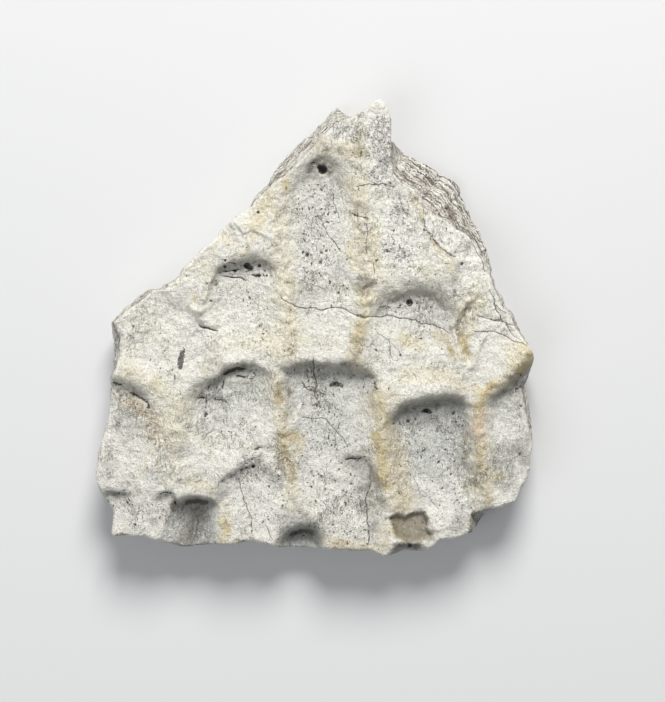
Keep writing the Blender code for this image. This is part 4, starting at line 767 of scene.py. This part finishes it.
def scoopParts(x, y, line, turn, depth, wall, length, sides, lip, flare=0.0, **paint):
    lean = math.radians(turn)
    across, along = x * math.cos(lean) + y * math.sin(lean), x * math.sin(lean) - y * math.cos(lean)
    lineX, lineY = np.array(line).T
    lineAcross = lineX * math.cos(lean) + lineY * math.sin(lean)
    lineAlong = lineX * math.sin(lean) - lineY * math.cos(lean)
    inside = along - np.interp(across, lineAcross, lineAlong)
    floor = np.clip(inside, 0, None)
    centre = 0.5 * (lineAcross[0] + lineAcross[-1])
    across = centre + (across - centre) / (1 + flare * floor)
    trough = smooth((across - lineAcross[0]) / sides[0]) * smooth((lineAcross[-1] - across) / sides[1])
    wall = np.interp(across, (lineAcross[0], lineAcross[-1]), np.broadcast_to(wall, 2))
    wall = wall * np.hypot(1, np.interp(across, lineAcross, np.gradient(lineAlong, lineAcross)))
    wall = wall * (1 + profile["ends"] * (1 - trough))
    steep = smooth(np.clip(profile["above"] + inside / wall, 0, 1) ** profile["bend"])
    drop = profile["drop"]
    headwall = drop * steep + (1 - drop) * (1 - np.exp(-floor / profile["settle"]))
    climb = 1 - np.clip(inside / length, 0, 1) ** profile["climb"]
    back, half = profile["lip"]
    crest = lip * trough * bell(inside + back * wall, half * wall)
    # painted shade: dark on the headwall, which faces away from the light, fading into a fainter tail on
    # the floor below
    above, below = profile["shade"]
    reach = wall * (0.12 + 0.88 * trough ** 1.5) * np.where(inside < -0.1 * wall, above, below)
    faint, tail = profile["dusk"]
    shade = bell(inside + 0.1 * wall, reach) + faint * steep * np.exp(-floor / tail)
    return depth * headwall * trough * climb, crest, shade * smooth(2.5 * trough)


def ornament(x, y):
    bentX, bentY = bent(x, y)
    cubes, height = 0, body["thickness"] + 0 * x
    for form in scoops.values():
        deep, crest, _ = scoopParts(bentX, bentY, **form)
        cubes, height = cubes + deep ** 3, height + crest
    height = height - np.cbrt(cubes)
    knobbly = 0
    for half, rise, *crest in ribs.values():
        near = bell(fromLine(bentX, bentY, crest)[0], half)
        height, knobbly = height + rise * near, np.maximum(knobbly, near)
    for depth, edge, *corners in scars.values():
        height = height - depth * smooth(depthInside(bentX, bentY, corners) / edge)
    height = height + knobbly * lumpy(x, y, "ribs") + lumpy(x, y, "face")
    return height + fineRelief(x, y) - pocketDepth(x, y)


cuts = {                              # how the small marks are cut
    "ledgeEdge": 0.35,                # width of a ledge's step
    "openingSide": 1.25,              # where an opening's side starts, in its radii
    "slitSide": (1.2, 1.6),           # the same for a slit, and how much wider than its dark it is
    "slitDepth": 0.35,
    "crack": (0.9, 0.22),             # depth of its groove in half widths, and half width of the groove
    "pocketSide": 1.5,
    "pocketEnd": 0.35,                # how wide a pocket still is at its ends
}


def fineRelief(x, y):
    height = lumpy(x, y, "skin") + lumpy(1.6 * x + 0.3 * y, 0.55 * y, "fibres")
    nearX, nearY = nudged(x, y)
    for rise, reach, *line in ledges.values():
        gap, side, walked = fromLine(nearX, nearY, line)
        step = smooth(0.5 + side * gap / cuts["ledgeEdge"])
        height = height + rise * step * bell(gap, reach) * fading(walked, 8)
    for middleX, middleY, radius, depth in openings:
        gap = np.hypot(nearX - middleX, nearY - middleY)
        height = height - depth * smooth(cuts["openingSide"] - gap / radius)
    start, wider = cuts["slitSide"]
    for half, *line in slits:
        gap, _, walked = fromLine(nearX, nearY, line)
        height = height - cuts["slitDepth"] * smooth(start - gap / (wider * half)) * fading(walked, 6)
    deep, groove = cuts["crack"]
    for half, *line in cracks + sideCracks:
        height = height - deep * half * bell(fromLine(nearX, nearY, line)[0], groove)
    return height


def pocketDepth(x, y):
    nearX, nearY = x + lumpy(x, y, "pocketX"), y + lumpy(x, y, "pocketY")
    deep = np.zeros(x.shape)
    for half, depth, *line in pockets:
        gap, _, walked = fromLine(nearX, nearY, line)
        swell = cuts["pocketEnd"] + (1 - cuts["pocketEnd"]) * fading(walked, 4)
        deep = np.maximum(deep, depth * smooth(cuts["pocketSide"] - gap / (half * swell)))
    return deep


# building the closed body

def places(points):
    return np.array([point.co for point in points]).T


def put(points, x, y, z):
    for point, *place in zip(points, *np.broadcast_arrays(x, y, z)):
        point.co = place


def wrappedGrid(shell, cells, reach, height):
    # nested squares drawn out into rings of the given reach
    points = bmesh.ops.create_grid(shell, x_segments=cells, y_segments=cells, size=1)["verts"]
    across, up, _ = places(points)
    ring = np.maximum(np.abs(across), np.abs(up))
    sideways = np.abs(across) > np.abs(up)
    minor = np.where(sideways, up, across) / np.maximum(ring, 1e-9)
    turn = np.where(sideways,
                    np.where(across > 0, 0, np.pi) + np.sign(across) * minor * np.pi / 4,
                    np.where(up > 0, 0.5, -0.5) * np.pi - np.sign(up) * minor * np.pi / 4)
    turn = np.arctan2(np.sin(turn), np.cos(turn))
    out = ring * reach(turn)
    x, y = out * np.cos(turn), out * np.sin(turn)
    put(points, x, y, height(x, y, out, reach(turn)))
    return points


def boundary(points):
    edges = (edge for point in points for edge in point.link_edges if edge.is_boundary)
    return list(dict.fromkeys(edges))


def rimReach(turn):
    return outlineReach(turn) - flankWidth(turn)


def wornFace(x, y, out, reach):                    # the ornament, worn down just inside its broken edge
    depth, width = body["wear"]
    return ornament(x, y) - depth * smooth(1 - (reach - out) / width) ** 2


def rimHeight(turn):
    reach = rimReach(turn)
    return wornFace(reach * np.cos(turn), reach * np.sin(turn), reach, reach)


def bellyHeight(turn):
    steep, wide = body["belly"]
    return rimHeight(turn) * (steep + (wide - steep) * smooth(flankWidth(turn) / body["wideFlank"]))


def flankPlace(turn, band):
    # band runs 0 at the ornament's edge, 1 at the outline, 2 at the foot, 3 at the flat
    flank, edge, belly = flankWidth(turn), rimHeight(turn), bellyHeight(turn)
    reach, lift = outlineReach(turn), body["footLift"]
    x, y = reach * np.cos(turn), reach * np.sin(turn)
    if band <= 1:
        leaves = body["leaves"]
        steps = leaves * band + lumpy(x, y, "leaves")
        stair = (np.floor(steps) + smooth((steps % 1) / body["leafRise"])) / leaves
        stair = np.clip(stair, 0, 1) if 0 < band < 1 else band
        down = band + smooth(flank / 1.5) * body["leafShare"] * (stair - band)
        z = edge + (belly - edge) * down
        out = rimReach(turn) + flank * band
    elif band <= 2:
        z = belly + (lift - belly) * (band - 1)
        out = reach - undercut(turn) * (band - 1) ** 1.5
    else:
        z = lift * (3 - band) ** 2
        out = reach - undercut(turn) - body["flatInset"] * (band - 2)
    slanted = x + body["slant"][0] * z, y + body["slant"][1] * z
    rough = 4 * (band / 3) * (1 - band / 3)
    out = out - rough * (body["roughness"] + lumpy(*slanted, "flank"))
    if band < 1.2:
        z = z - pocketDepth(out * np.cos(turn), out * np.sin(turn)) - lumpy(*slanted, "flankSkin")
    return out, np.maximum(z, 0)


def buildPlate():
    shell = bmesh.new()
    bands = shell.verts.layers.float.new("band")
    edges = boundary(wrappedGrid(shell, body["topCells"], rimReach, wornFace))
    for first, rings in enumerate(("flankRings", "footRings", "turnRings")):
        for band in np.linspace(first, first + 1, body[rings] + 1)[1:]:
            made = bmesh.ops.extrude_edge_only(shell, edges=edges)["geom"]
            points = [item for item in made if isinstance(item, bmesh.types.BMVert)]
            edges = [item for item in made if isinstance(item, bmesh.types.BMEdge)]
            x, y, _ = places(points)
            turn = np.arctan2(y, x)
            out, z = flankPlace(turn, band)
            put(points, out * np.cos(turn), out * np.sin(turn), z)
            for point in points:
                point[bands] = band
    under = wrappedGrid(
        shell, body["underCells"],
        lambda turn: flankPlace(turn, 3)[0] - body["underInset"],
        lambda x, y, out, reach: body["underLift"] * smooth(lumpy(x, y, "under")))
    for point in under:
        point[bands] = 3
    bmesh.ops.bridge_loops(shell, edges=edges + boundary(under))
    bmesh.ops.recalc_face_normals(shell, faces=shell.faces[:])
    mesh = bpy.data.meshes.new("scutePlate")
    shell.to_mesh(mesh)
    shell.free()
    print("plate built:", len(mesh.polygons), "faces")
    return mesh


# what the material reads: one number per point for each mark

marksLook = {
    "grey": 1.6, "speck": 1.2,        # depth in a scoop where its grey and its specks are full
    "wall": 2.2,                      # depth of a scoop whose headwall's painted shade is as dark as they come
    "opening": 1.5,                   # where the dark of an opening starts, in its radii
    "slit": (0.85, 1.35),             # how dark a slit is, and where it starts in its half widths
    "rib": 1.2,                       # reach of a rib's warm colour, in its half widths
    "crack": (8, 0.4),                # what a half width counts for, and how far a crack is read
    "scar": 0.35, "pocket": 0.35,     # inset and depth where their colours are full
    "stainEnd": 1.4, "pocketLow": 1.6,    # bands of the flank where stains and pockets stop
    "northEast": (9, 3, 6, 5),        # where layers show on the face: x and its softness, y and its own
    "layerInset": 0.8,                # and how far in from the rim
}


def crackField(x, y, family):     # signed distance to the nearest crack, and how much of it shows
    side, shown = np.full(x.shape, 1.0), np.zeros(x.shape)
    nearest = np.full(x.shape, np.inf)
    share, far = marksLook["crack"]
    for half, *line in family:
        gap, sign, walked = fromLine(x, y, line)
        closer = gap < nearest
        taper = smooth(12 * np.minimum(walked, 1 - walked) + 0.15)
        nearest = np.where(closer, gap, nearest)
        side = np.where(closer, sign * gap, side)
        shown = np.where(closer, smooth(1.6 - gap / far) * half * share * taper, shown)
    return side, shown


def softLines(x, y, family):
    total = np.zeros(x.shape)
    for half, strength, *line in family:
        total = np.maximum(total, strength * bell(fromLine(x, y, line)[0], half))
    return total


def coordinates(mesh):
    flat = np.empty(len(mesh.vertices) * 3)
    mesh.vertices.foreach_get("co", flat)
    return flat.reshape(-1, 3)


def markMesh(mesh):
    x, y, _ = coordinates(mesh).T
    band = np.empty(x.size)
    mesh.attributes["band"].data.foreach_get("value", band)
    top = np.clip(1 - 4 * band, 0, 1)
    bentX, bentY = bent(x, y)
    nearX, nearY = nudged(x, y)
    marks = {name: np.zeros(x.size) for name in ("grey", "wall", "speck", "pore", "rib")}
    for form in scoops.values():
        deep, _, shade = scoopParts(bentX, bentY, **form)
        for name in ("grey", "speck"):
            marks[name] = np.maximum(marks[name], form[name] * smooth(deep / marksLook[name]))
        # wall: the painted shade on each headwall and the floor below it
        marks["wall"] = np.maximum(marks["wall"], shade * smooth(form["depth"] / marksLook["wall"]))
    for middleX, middleY, radius, depth in openings:
        gap = np.hypot(nearX - middleX, nearY - middleY)
        marks["pore"] = np.maximum(marks["pore"], smooth(marksLook["opening"] - gap / radius))
    dark, start = marksLook["slit"]
    for half, *line in slits:
        gap, _, walked = fromLine(nearX, nearY, line)
        marks["pore"] = np.maximum(marks["pore"], dark * smooth(start - gap / half) * fading(walked, 8))
    for half, _, *crest in ribs.values():
        near = bell(fromLine(bentX, bentY, crest)[0], marksLook["rib"] * half)
        marks["rib"] = np.maximum(marks["rib"], near)
    marks["cluster"] = softLines(bentX, bentY, speckled)
    marks["web"] = softLines(bentX, bentY, webs)
    crackSide, marks["crackShown"] = crackField(nearX, nearY, cracks)
    sideSide, marks["sideShown"] = crackField(nearX, nearY, sideCracks)
    marks["scar"] = smooth(depthInside(bentX, bentY, scars["southFlake"][2:]) / marksLook["scar"])
    marks = {name: values * top for name, values in marks.items()}
    for name, lines in stains.items():
        marks[name] = softLines(bentX, bentY, lines) * np.clip(marksLook["stainEnd"] - band, 0, 1)
    marks["crackSide"], marks["sideSide"] = crackSide, sideSide
    pocket = np.clip(pocketDepth(x, y) / marksLook["pocket"], 0, 1.3)
    marks["pocket"] = pocket * np.clip(marksLook["pocketLow"] - band, 0, 1)
    turn = np.arctan2(y, x)
    east, softX, north, softY = marksLook["northEast"]
    layered = smooth((x - east) / softX) * smooth((y - north) / softY)
    inward = rimReach(turn) - np.hypot(x, y)
    depth = np.hypot(flankWidth(turn), rimHeight(turn) - bellyHeight(turn)) * np.clip(band, 0, 2)
    marks["layer"] = np.where(band > 0, depth, -inward)
    marks["laminated"] = np.where(band > 0, 1, layered * smooth(1 - inward / marksLook["layerInset"]))
    for name, values in marks.items():
        mesh.attributes.new(name, "FLOAT", "POINT").data.foreach_set("value", values.astype(np.float32))
    print("marks laid:", ", ".join(marks))


# the finish

class Shade:
    # one socket of a node tree: sums and products of sockets read as plain maths
    def __init__(self, tree, socket=None):
        self.tree, self.socket = tree, socket

    def node(self, kind, settings=None, inputs=None, output=0):
        made = self.tree.nodes.new("ShaderNode" + kind)
        for name, value in (settings or {}).items():
            setattr(made, name, value)
        for name, value in (inputs or {}).items():
            if isinstance(value, Shade):
                self.tree.links.new(value.socket, made.inputs[name])
            else:
                made.inputs[name].default_value = value
        return Shade(self.tree, made.outputs[output])

    def maths(self, operation, *values):
        return self.node("Math", {"operation": operation}, dict(enumerate(values)))

    def vectors(self, operation, *values):
        return self.node("VectorMath", {"operation": operation}, dict(enumerate(values)))

    def __add__(self, other):
        return self.maths("ADD", self, other)

    def __radd__(self, other):
        return self.maths("ADD", other, self)

    def __sub__(self, other):
        return self.maths("SUBTRACT", self, other)

    def __rsub__(self, other):
        return self.maths("SUBTRACT", other, self)

    def __mul__(self, other):
        return self.maths("MULTIPLY", self, other)

    def __rmul__(self, other):
        return self.maths("MULTIPLY", other, self)

    def ramp(self, low, high):                 # soft from 0 at low to 1 at high; low may be the higher
        return self.node("MapRange", {"interpolation_type": "SMOOTHSTEP"},
                         {"Value": self, "From Min": low, "From Max": high})

    def between(self, low=0.0, high=1.0):
        return self.node("Clamp", None, {"Value": self, "Min": low, "Max": high})

    def tint(self, name, amount, most=1.0):    # this colour, turned towards one of the palette's
        return self.node("Mix", {"data_type": "RGBA"},
                         {0: amount.between(0.0, most), 6: self, 7: (*palette[name], 1)}, 2)


# some colours stand in for light: wall paints the headwalls' shade, the near-black one painted shadow,
# the near-white one painted glints; chalk, ash and olive also paint highlights and shade
palette = {
    "white": (0.786, 0.768, 0.694), "cream": (0.755, 0.698, 0.51), "grey": (0.448, 0.460, 0.444),
    "ashAndShade": (0.36, 0.35, 0.318), "wall": (0.235, 0.212, 0.145), "chalkAndHighlight": (0.812, 0.796, 0.733),
    "paintedShadow": (0.072, 0.070, 0.060), "beige": (0.61, 0.545, 0.40), "yellow": (0.735, 0.66, 0.45),
    "charcoal": (0.035, 0.035, 0.034), "ochre": (0.555, 0.45, 0.235), "brown": (0.235, 0.195, 0.135),
    "peach": (0.62, 0.475, 0.33), "oliveAndShade": (0.40, 0.355, 0.215), "dark": (0.018, 0.015, 0.012),
    "fleck": (0.045, 0.042, 0.038), "hair": (0.11, 0.095, 0.075), "flank": (0.56, 0.52, 0.44),
    "flankDeep": (0.14, 0.105, 0.075), "hollowPink": (0.40, 0.315, 0.255), "scar": (0.245, 0.212, 0.15),
    "darkLowGrain": (0.27, 0.26, 0.23), "paintedGlint": (0.93, 0.925, 0.88),
}

grain = {                                      # sizes in millimetres
    "cloud": 4.5, "blotch": 1.5, "mottle": 0.55, "fibre": 0.32, "grit": 0.14, "nudge": 0.9, "cell": 0.30,
}

nets = {                                       # gap and half width of the lines of each net
    "web": (1.1, 0.07), "fineWeb": (0.55, 0.05), "lace": (1.0, 0.13), "fineLace": (0.5, 0.10),
}

tracks = {                                     # worm tracks: size, half width in the noise, shift
    "wide": (1.3, 0.035, 3.0), "narrow": (0.65, 0.045, 9.0),
}

leafSeams = {"thick": (0.8, 0.13), "thin": (1.7, 0.09)}       # seams in a millimetre, half width

brokenUp = {                                   # how far noise breaks a stain's edge, coarse and fine
    "ashAndShade": (0.5, 0.7), "paintedShadow": (0.7, 1.0), "beige": (0.4, 0.1), "yellow": (0.8, 0.1),
    "chalkAndHighlight": (0.5, 0.8), "peach": (0.9, 1.3), "ochre": (1.3, 0.5), "oliveAndShade": (0.8, 1.1),
    "brown": (1.0, 1.0),
}

canals = {                                     # gap, least and greatest radius, share alone and in a
                                               # crowd, and stretch of the small canal openings
    "pores": (1.15, 0.07, 0.19, 0.005, 0.24, 0.8),
    "specks": (0.62, 0.055, 0.135, 0.01, 0.48, 0.7),
    "flecks": (0.36, 0.045, 0.10, 0.03, 0.26, 0.7),
}

strength = {                                   # how strongly each mark colours the bone
    "rib": 0.7, "cream": 0.8, "grey": 0.85, "wall": 0.40, "wideTrack": 0.45, "narrowTrack": 0.38,
    "crevice": 0.5, "leaf": 0.95, "seam": 1.2, "pocket": 0.5, "deepPocket": 0.75,
    "flecks": 0.85, "specks": 0.95, "pores": 0.97, "web": 0.68, "fineWeb": 0.50, "riddled": 0.75,
    "crack": 0.95, "opening": 0.92, "charcoal": 0.93,
}

skinLook = {
    "darkLowGrain": (8.6, 0.487, 0.64),               # in the low grain: how hard, from what level, at most
    "paintedGlint": (8.8, 0.500, 0.68),                # painted glints on the high grain
    "crackWidth": 0.085,
    "roughness": (0.5, 0.95),
    "specular": 0.35,
}


def fossilBone():
    material = bpy.data.materials.new("fossilBone")
    material.use_nodes = True
    tree = material.node_tree
    surface = tree.nodes["Principled BSDF"]
    shade = Shade(tree)

    def read(name):
        return shade.node("Attribute", {"attribute_name": name}, None, "Fac")

    local = shade.node("TexCoord", None, None, "Object")
    place = shade.node("VectorMath", {"operation": "SCALE"}, {0: local, "Scale": 1 / mm})
    along = shade.vectors("MULTIPLY", place, (1.0, 0.42, 1.0))

    def noise(size, detail=3.0, roughness=0.55, distortion=0.0, across=place):
        return shade.node("TexNoise", None, {
            "Vector": across, "Scale": 1 / size, "Detail": detail, "Roughness": roughness,
            "Distortion": distortion}, "Fac")

    def cells(vector, gap, output, dimensions="2D", feature="F1"):
        return shade.node("TexVoronoi", {"voronoi_dimensions": dimensions, "feature": feature}, {
            "Vector": vector, "Scale": 1 / gap, "Randomness": 1.0}, output)

    cloud = noise(grain["cloud"])
    blotch = noise(grain["blotch"], 4.0, 0.6, 0.4)
    mottle = noise(grain["mottle"], 4.0, 0.65, 0.3)
    fibre = noise(grain["fibre"], 3.0, 0.6, 0.6, along)
    grit = noise(grain["grit"], 2.0)

    # places nudged by noise, for marks that are not ruled
    nudge = shade.node("TexNoise", None, {
        "Vector": place, "Scale": 1 / grain["nudge"], "Detail": 3.0}, "Color")
    pushed = shade.vectors("MULTIPLY_ADD", nudge, (1.1, 1.1, 1.1), place)

    # bone: white to cream, grey in the scoops, painted shade on the headwalls, ash and stains that break
    # up at their edges, with painted shadow, shade and highlights among them
    grey = read("grey")
    warm = strength["rib"] * read("rib") + strength["cream"] * read("cream")
    warm = (warm + 2.4 * (cloud - 0.54) + 0.5 * (blotch - 0.5)).between()
    bone = shade.node("Mix", {"data_type": "RGBA"}, {
        0: warm, 6: (*palette["white"], 1), 7: (*palette["cream"], 1)}, 2)
    dull = strength["grey"] * grey + 1.2 * (cloud - 0.52) + 0.5 * (blotch - 0.55)
    bone = bone.tint("grey", dull, 0.85)
    # painted shade on the headwalls, darker for deeper scoops
    bone = bone.tint("wall", strength["wall"] * read("wall") * (0.7 + 0.6 * blotch), 0.7)
    # the stains include painted shadow, painted highlights and painted shade
    for name, (broken, granular) in brokenUp.items():
        amount = read(name)
        rim = amount.ramp(0.0, 0.3)
        spread = amount + rim * (broken * (blotch - 0.5) + granular * (mottle - 0.5))
        bone = bone.tint(name, spread.ramp(0.08, 1.0), 0.9)
    bone = bone.tint("scar", read("scar") * (0.45 + 0.9 * blotch), 0.92)

    # worm tracks: thin broken grooves between smoother patches
    def track(size, half, shift):
        level = noise(size, 2.0, 0.5, 1.2, shade.vectors("ADD", along, (shift, shift, 0.0)))
        return shade.maths("ABSOLUTE", level - 0.5).ramp(half, 0.25 * half)

    worn = 0.45 * read("web") + 1.4 * (cloud - 0.5) + 1.0 * (blotch - 0.5) + 0.8 * (mottle - 0.5) + 0.40
    wide = track(*tracks["wide"]) * worn.ramp(0.35, 0.75)
    narrow = track(*tracks["narrow"]) * worn.ramp(0.40, 0.85)
    bone = bone.tint("hair", strength["wideTrack"] * wide + strength["narrowTrack"] * narrow, 0.65)

    # broken flank: layers that run with the edge, and spongy pockets
    layer, laminated, band = read("layer"), read("laminated"), read("band")
    onFlank = band.ramp(0.0, 0.1)
    stretched = shade.node("VectorMath", {"operation": "SCALE"}, {0: place, "Scale": 0.32})
    layers = shade.node("TexNoise", {"noise_dimensions": "4D"}, {
        "Vector": stretched, "W": layer * 2.6, "Scale": 1.0, "Detail": 3.0, "Roughness": 0.55}, "Fac")
    bone = bone.tint("flank", onFlank * (0.1 + 0.9 * blotch))
    crevice = layers.ramp(0.56, 0.66) * laminated * (0.25 + 0.75 * onFlank)

    def seams(each, half):                     # thin dark lines between the leaves, broken in places
        leaf = shade.maths("FRACT", each * layer + 2.4 * each * blotch + 0.5 * mottle + 1.4 * cloud)
        line = shade.maths("ABSOLUTE", leaf - 0.5).ramp(half * each, 0.3 * half * each)
        return line * (1.2 * mottle + blotch - 0.6).ramp(0.30, 0.52)

    seam = shade.maths("MAXIMUM", seams(*leafSeams["thick"]), 0.9 * seams(*leafSeams["thin"]))
    seam = seam * laminated * (0.35 + 0.65 * onFlank)
    pocket = read("pocket") + 0.5 * (mottle - 0.5)
    bone = bone.tint("brown", strength["crevice"] * crevice * mottle.ramp(0.35, 0.55), 0.85)
    bone = bone.tint("chalkAndHighlight", strength["leaf"] * laminated * onFlank * layers.ramp(0.52, 0.44))
    bone = bone.tint("flankDeep", strength["seam"] * seam, 0.93)
    bone = bone.tint("hollowPink", strength["pocket"] * pocket.ramp(0.3, 0.8))
    bone = bone.tint("flankDeep", strength["deepPocket"] * pocket.ramp(0.8, 1.2))

    # canal openings of three sizes, each cell with its own dice for size and presence
    speckled, webbed = read("speck"), read("web")

    def spots(gap, small, large, alone, crowded, stretch):
        share = alone + crowded * crowd
        squeezed = shade.vectors("MULTIPLY", pushed, (1.0, stretch, 0.0))
        away, dice = cells(squeezed, gap, "Distance"), cells(squeezed, gap, "Color")
        split = shade.node("SeparateColor", None, {"Color": dice}, "Red")
        size = shade.node("SeparateColor", None, {"Color": dice}, "Green")
        radius = small / gap + (large - small) / gap * size * size
        return (10 * (radius + 0.05 - away)).between() * (share - split).ramp(-0.01, 0.02)

    crowd = (1.1 * read("cluster") + 0.75 * speckled * cloud.ramp(0.44, 0.60) + 0.15 * webbed
             + 1.2 * (blotch - 0.5) - 0.05).between(0.0, 2.2)
    pores, specks, flecks = (spots(*canal) for canal in canals.values())
    bone = bone.tint("fleck", strength["flecks"] * flecks)
    bone = bone.tint("fleck", strength["specks"] * specks)
    bone = bone.tint("dark", strength["pores"] * pores)

    # hair webs
    def webLines(gap, width):
        edge = cells(pushed, gap, "Distance", feature="DISTANCE_TO_EDGE")
        return edge.ramp(width / gap, 0.2 * width / gap)

    web = webLines(*nets["web"])
    web = web * (0.8 * webbed + 1.6 * (blotch - 0.56) + 2.6 * (mottle - 0.5)).ramp(0.30, 0.70)
    fineWeb = webLines(*nets["fineWeb"])
    fineWeb = fineWeb * (0.8 * webbed + 1.2 * (cloud - 0.55) + 3.0 * (mottle - 0.55)).ramp(0.35, 0.85)
    bone = bone.tint("hair", strength["web"] * web + strength["fineWeb"] * fineWeb, 0.8)
    riddled = (read("cluster") + 1.6 * (blotch - 0.5)).ramp(0.9, 1.3)
    lace = webLines(*nets["lace"]) * mottle.ramp(0.45, 0.53)
    fineLace = webLines(*nets["fineLace"]) * blotch.ramp(0.48, 0.57) * mottle.ramp(0.46, 0.53)
    netted = shade.maths("MAXIMUM", lace, fineLace)
    netted = shade.maths("MAXIMUM", netted, (blotch + mottle).ramp(1.20, 1.27))
    bone = bone.tint("chalkAndHighlight", strength["riddled"] * riddled)
    bone = bone.tint("fleck", strength["riddled"] * riddled * netted)

    # cracks, vessels and the charcoal mark
    def crackLines(side, shown):
        show = read(shown)
        gap = shade.maths("ABSOLUTE", read(side) + wobble)
        line = (skinLook["crackWidth"] * show - gap).ramp(-0.03, 0.015)
        return line * show.ramp(0.05, 0.45) * (0.65 + 0.6 * blotch)

    wobble = 0.08 * (mottle - 0.5)
    lines = shade.maths("MAXIMUM", crackLines("crackSide", "crackShown"),
                        crackLines("sideSide", "sideShown"))
    bone = bone.tint("hair", strength["crack"] * lines)
    opening = (read("pore") + 0.4 * (mottle - 0.5)).ramp(0.30, 0.62)
    bone = bone.tint("dark", strength["opening"] * opening)
    charcoal = (read("charcoal") + 1.1 * (mottle - 0.5)).ramp(0.45, 0.6)
    bone = bone.tint("charcoal", strength["charcoal"] * charcoal)

    # fine grain: darker in the low spots, painted glints on the high ones
    coarse = 0.6 + 1.6 * (cloud - 0.5) + 0.8 * (blotch - 0.5)
    # lit: low in the painted shadow, the scar and the painted headwall shade, so the painted glints keep
    # out of them
    lit = (1.0 - read("paintedShadow") - read("scar") - 0.7 * read("wall")).between(0.1, 1.0)
    leather = shade.vectors("MULTIPLY", pushed, (1.0, 0.7, 1.0))
    away = cells(leather, grain["cell"], "Distance", "3D")
    level = 0.38 * fibre + 0.12 * mottle + 0.38 * grit + 0.13 * (0.96 - away)
    hard, start, most = skinLook["darkLowGrain"]
    bone = bone.tint("darkLowGrain", hard * coarse * (start - level), most)
    hard, start, most = skinLook["paintedGlint"]
    bone = bone.tint("paintedGlint", hard * coarse * lit * (level - start), most)
    heights = (0.42 * mottle + 0.26 * fibre + 0.12 * grit + 0.30 * blotch - 0.10 * wide - 0.06 * narrow
               - 0.10 * lines - 0.08 * specks - 0.15 * pores - 0.05 * web - 0.03 * fineWeb
               - 0.10 * crevice - 0.34 * seam)
    bump = shade.node("Bump", None, {"Strength": 1.0, "Distance": mm, "Height": heights}, "Normal")
    roughness = (0.62 + 0.25 * mottle + 0.08 * grey).between(*skinLook["roughness"])

    for name, value in (("Base Color", bone), ("Roughness", roughness), ("Normal", bump)):
        tree.links.new(value.socket, surface.inputs[name])
    surface.inputs["Specular IOR Level"].default_value = skinLook["specular"]
    print("fossil bone mixed:", len(tree.nodes), "nodes")
    return material


# putting it together

def addPlate():
    mesh = buildPlate()
    markMesh(mesh)
    settled = (coordinates(mesh) - (*middle, 0)) * mm
    settled[:, 2] -= settled[:, 2].min()
    mesh.vertices.foreach_set("co", settled.ravel())
    mesh.shade_smooth()
    mesh.materials.append(fossilBone())
    plate = addObject("scutePlate", mesh)
    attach(plate, "root")
    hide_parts("scute")
    print("plate placed")


addCamera()
addLights()
addFloor()
addPlate()
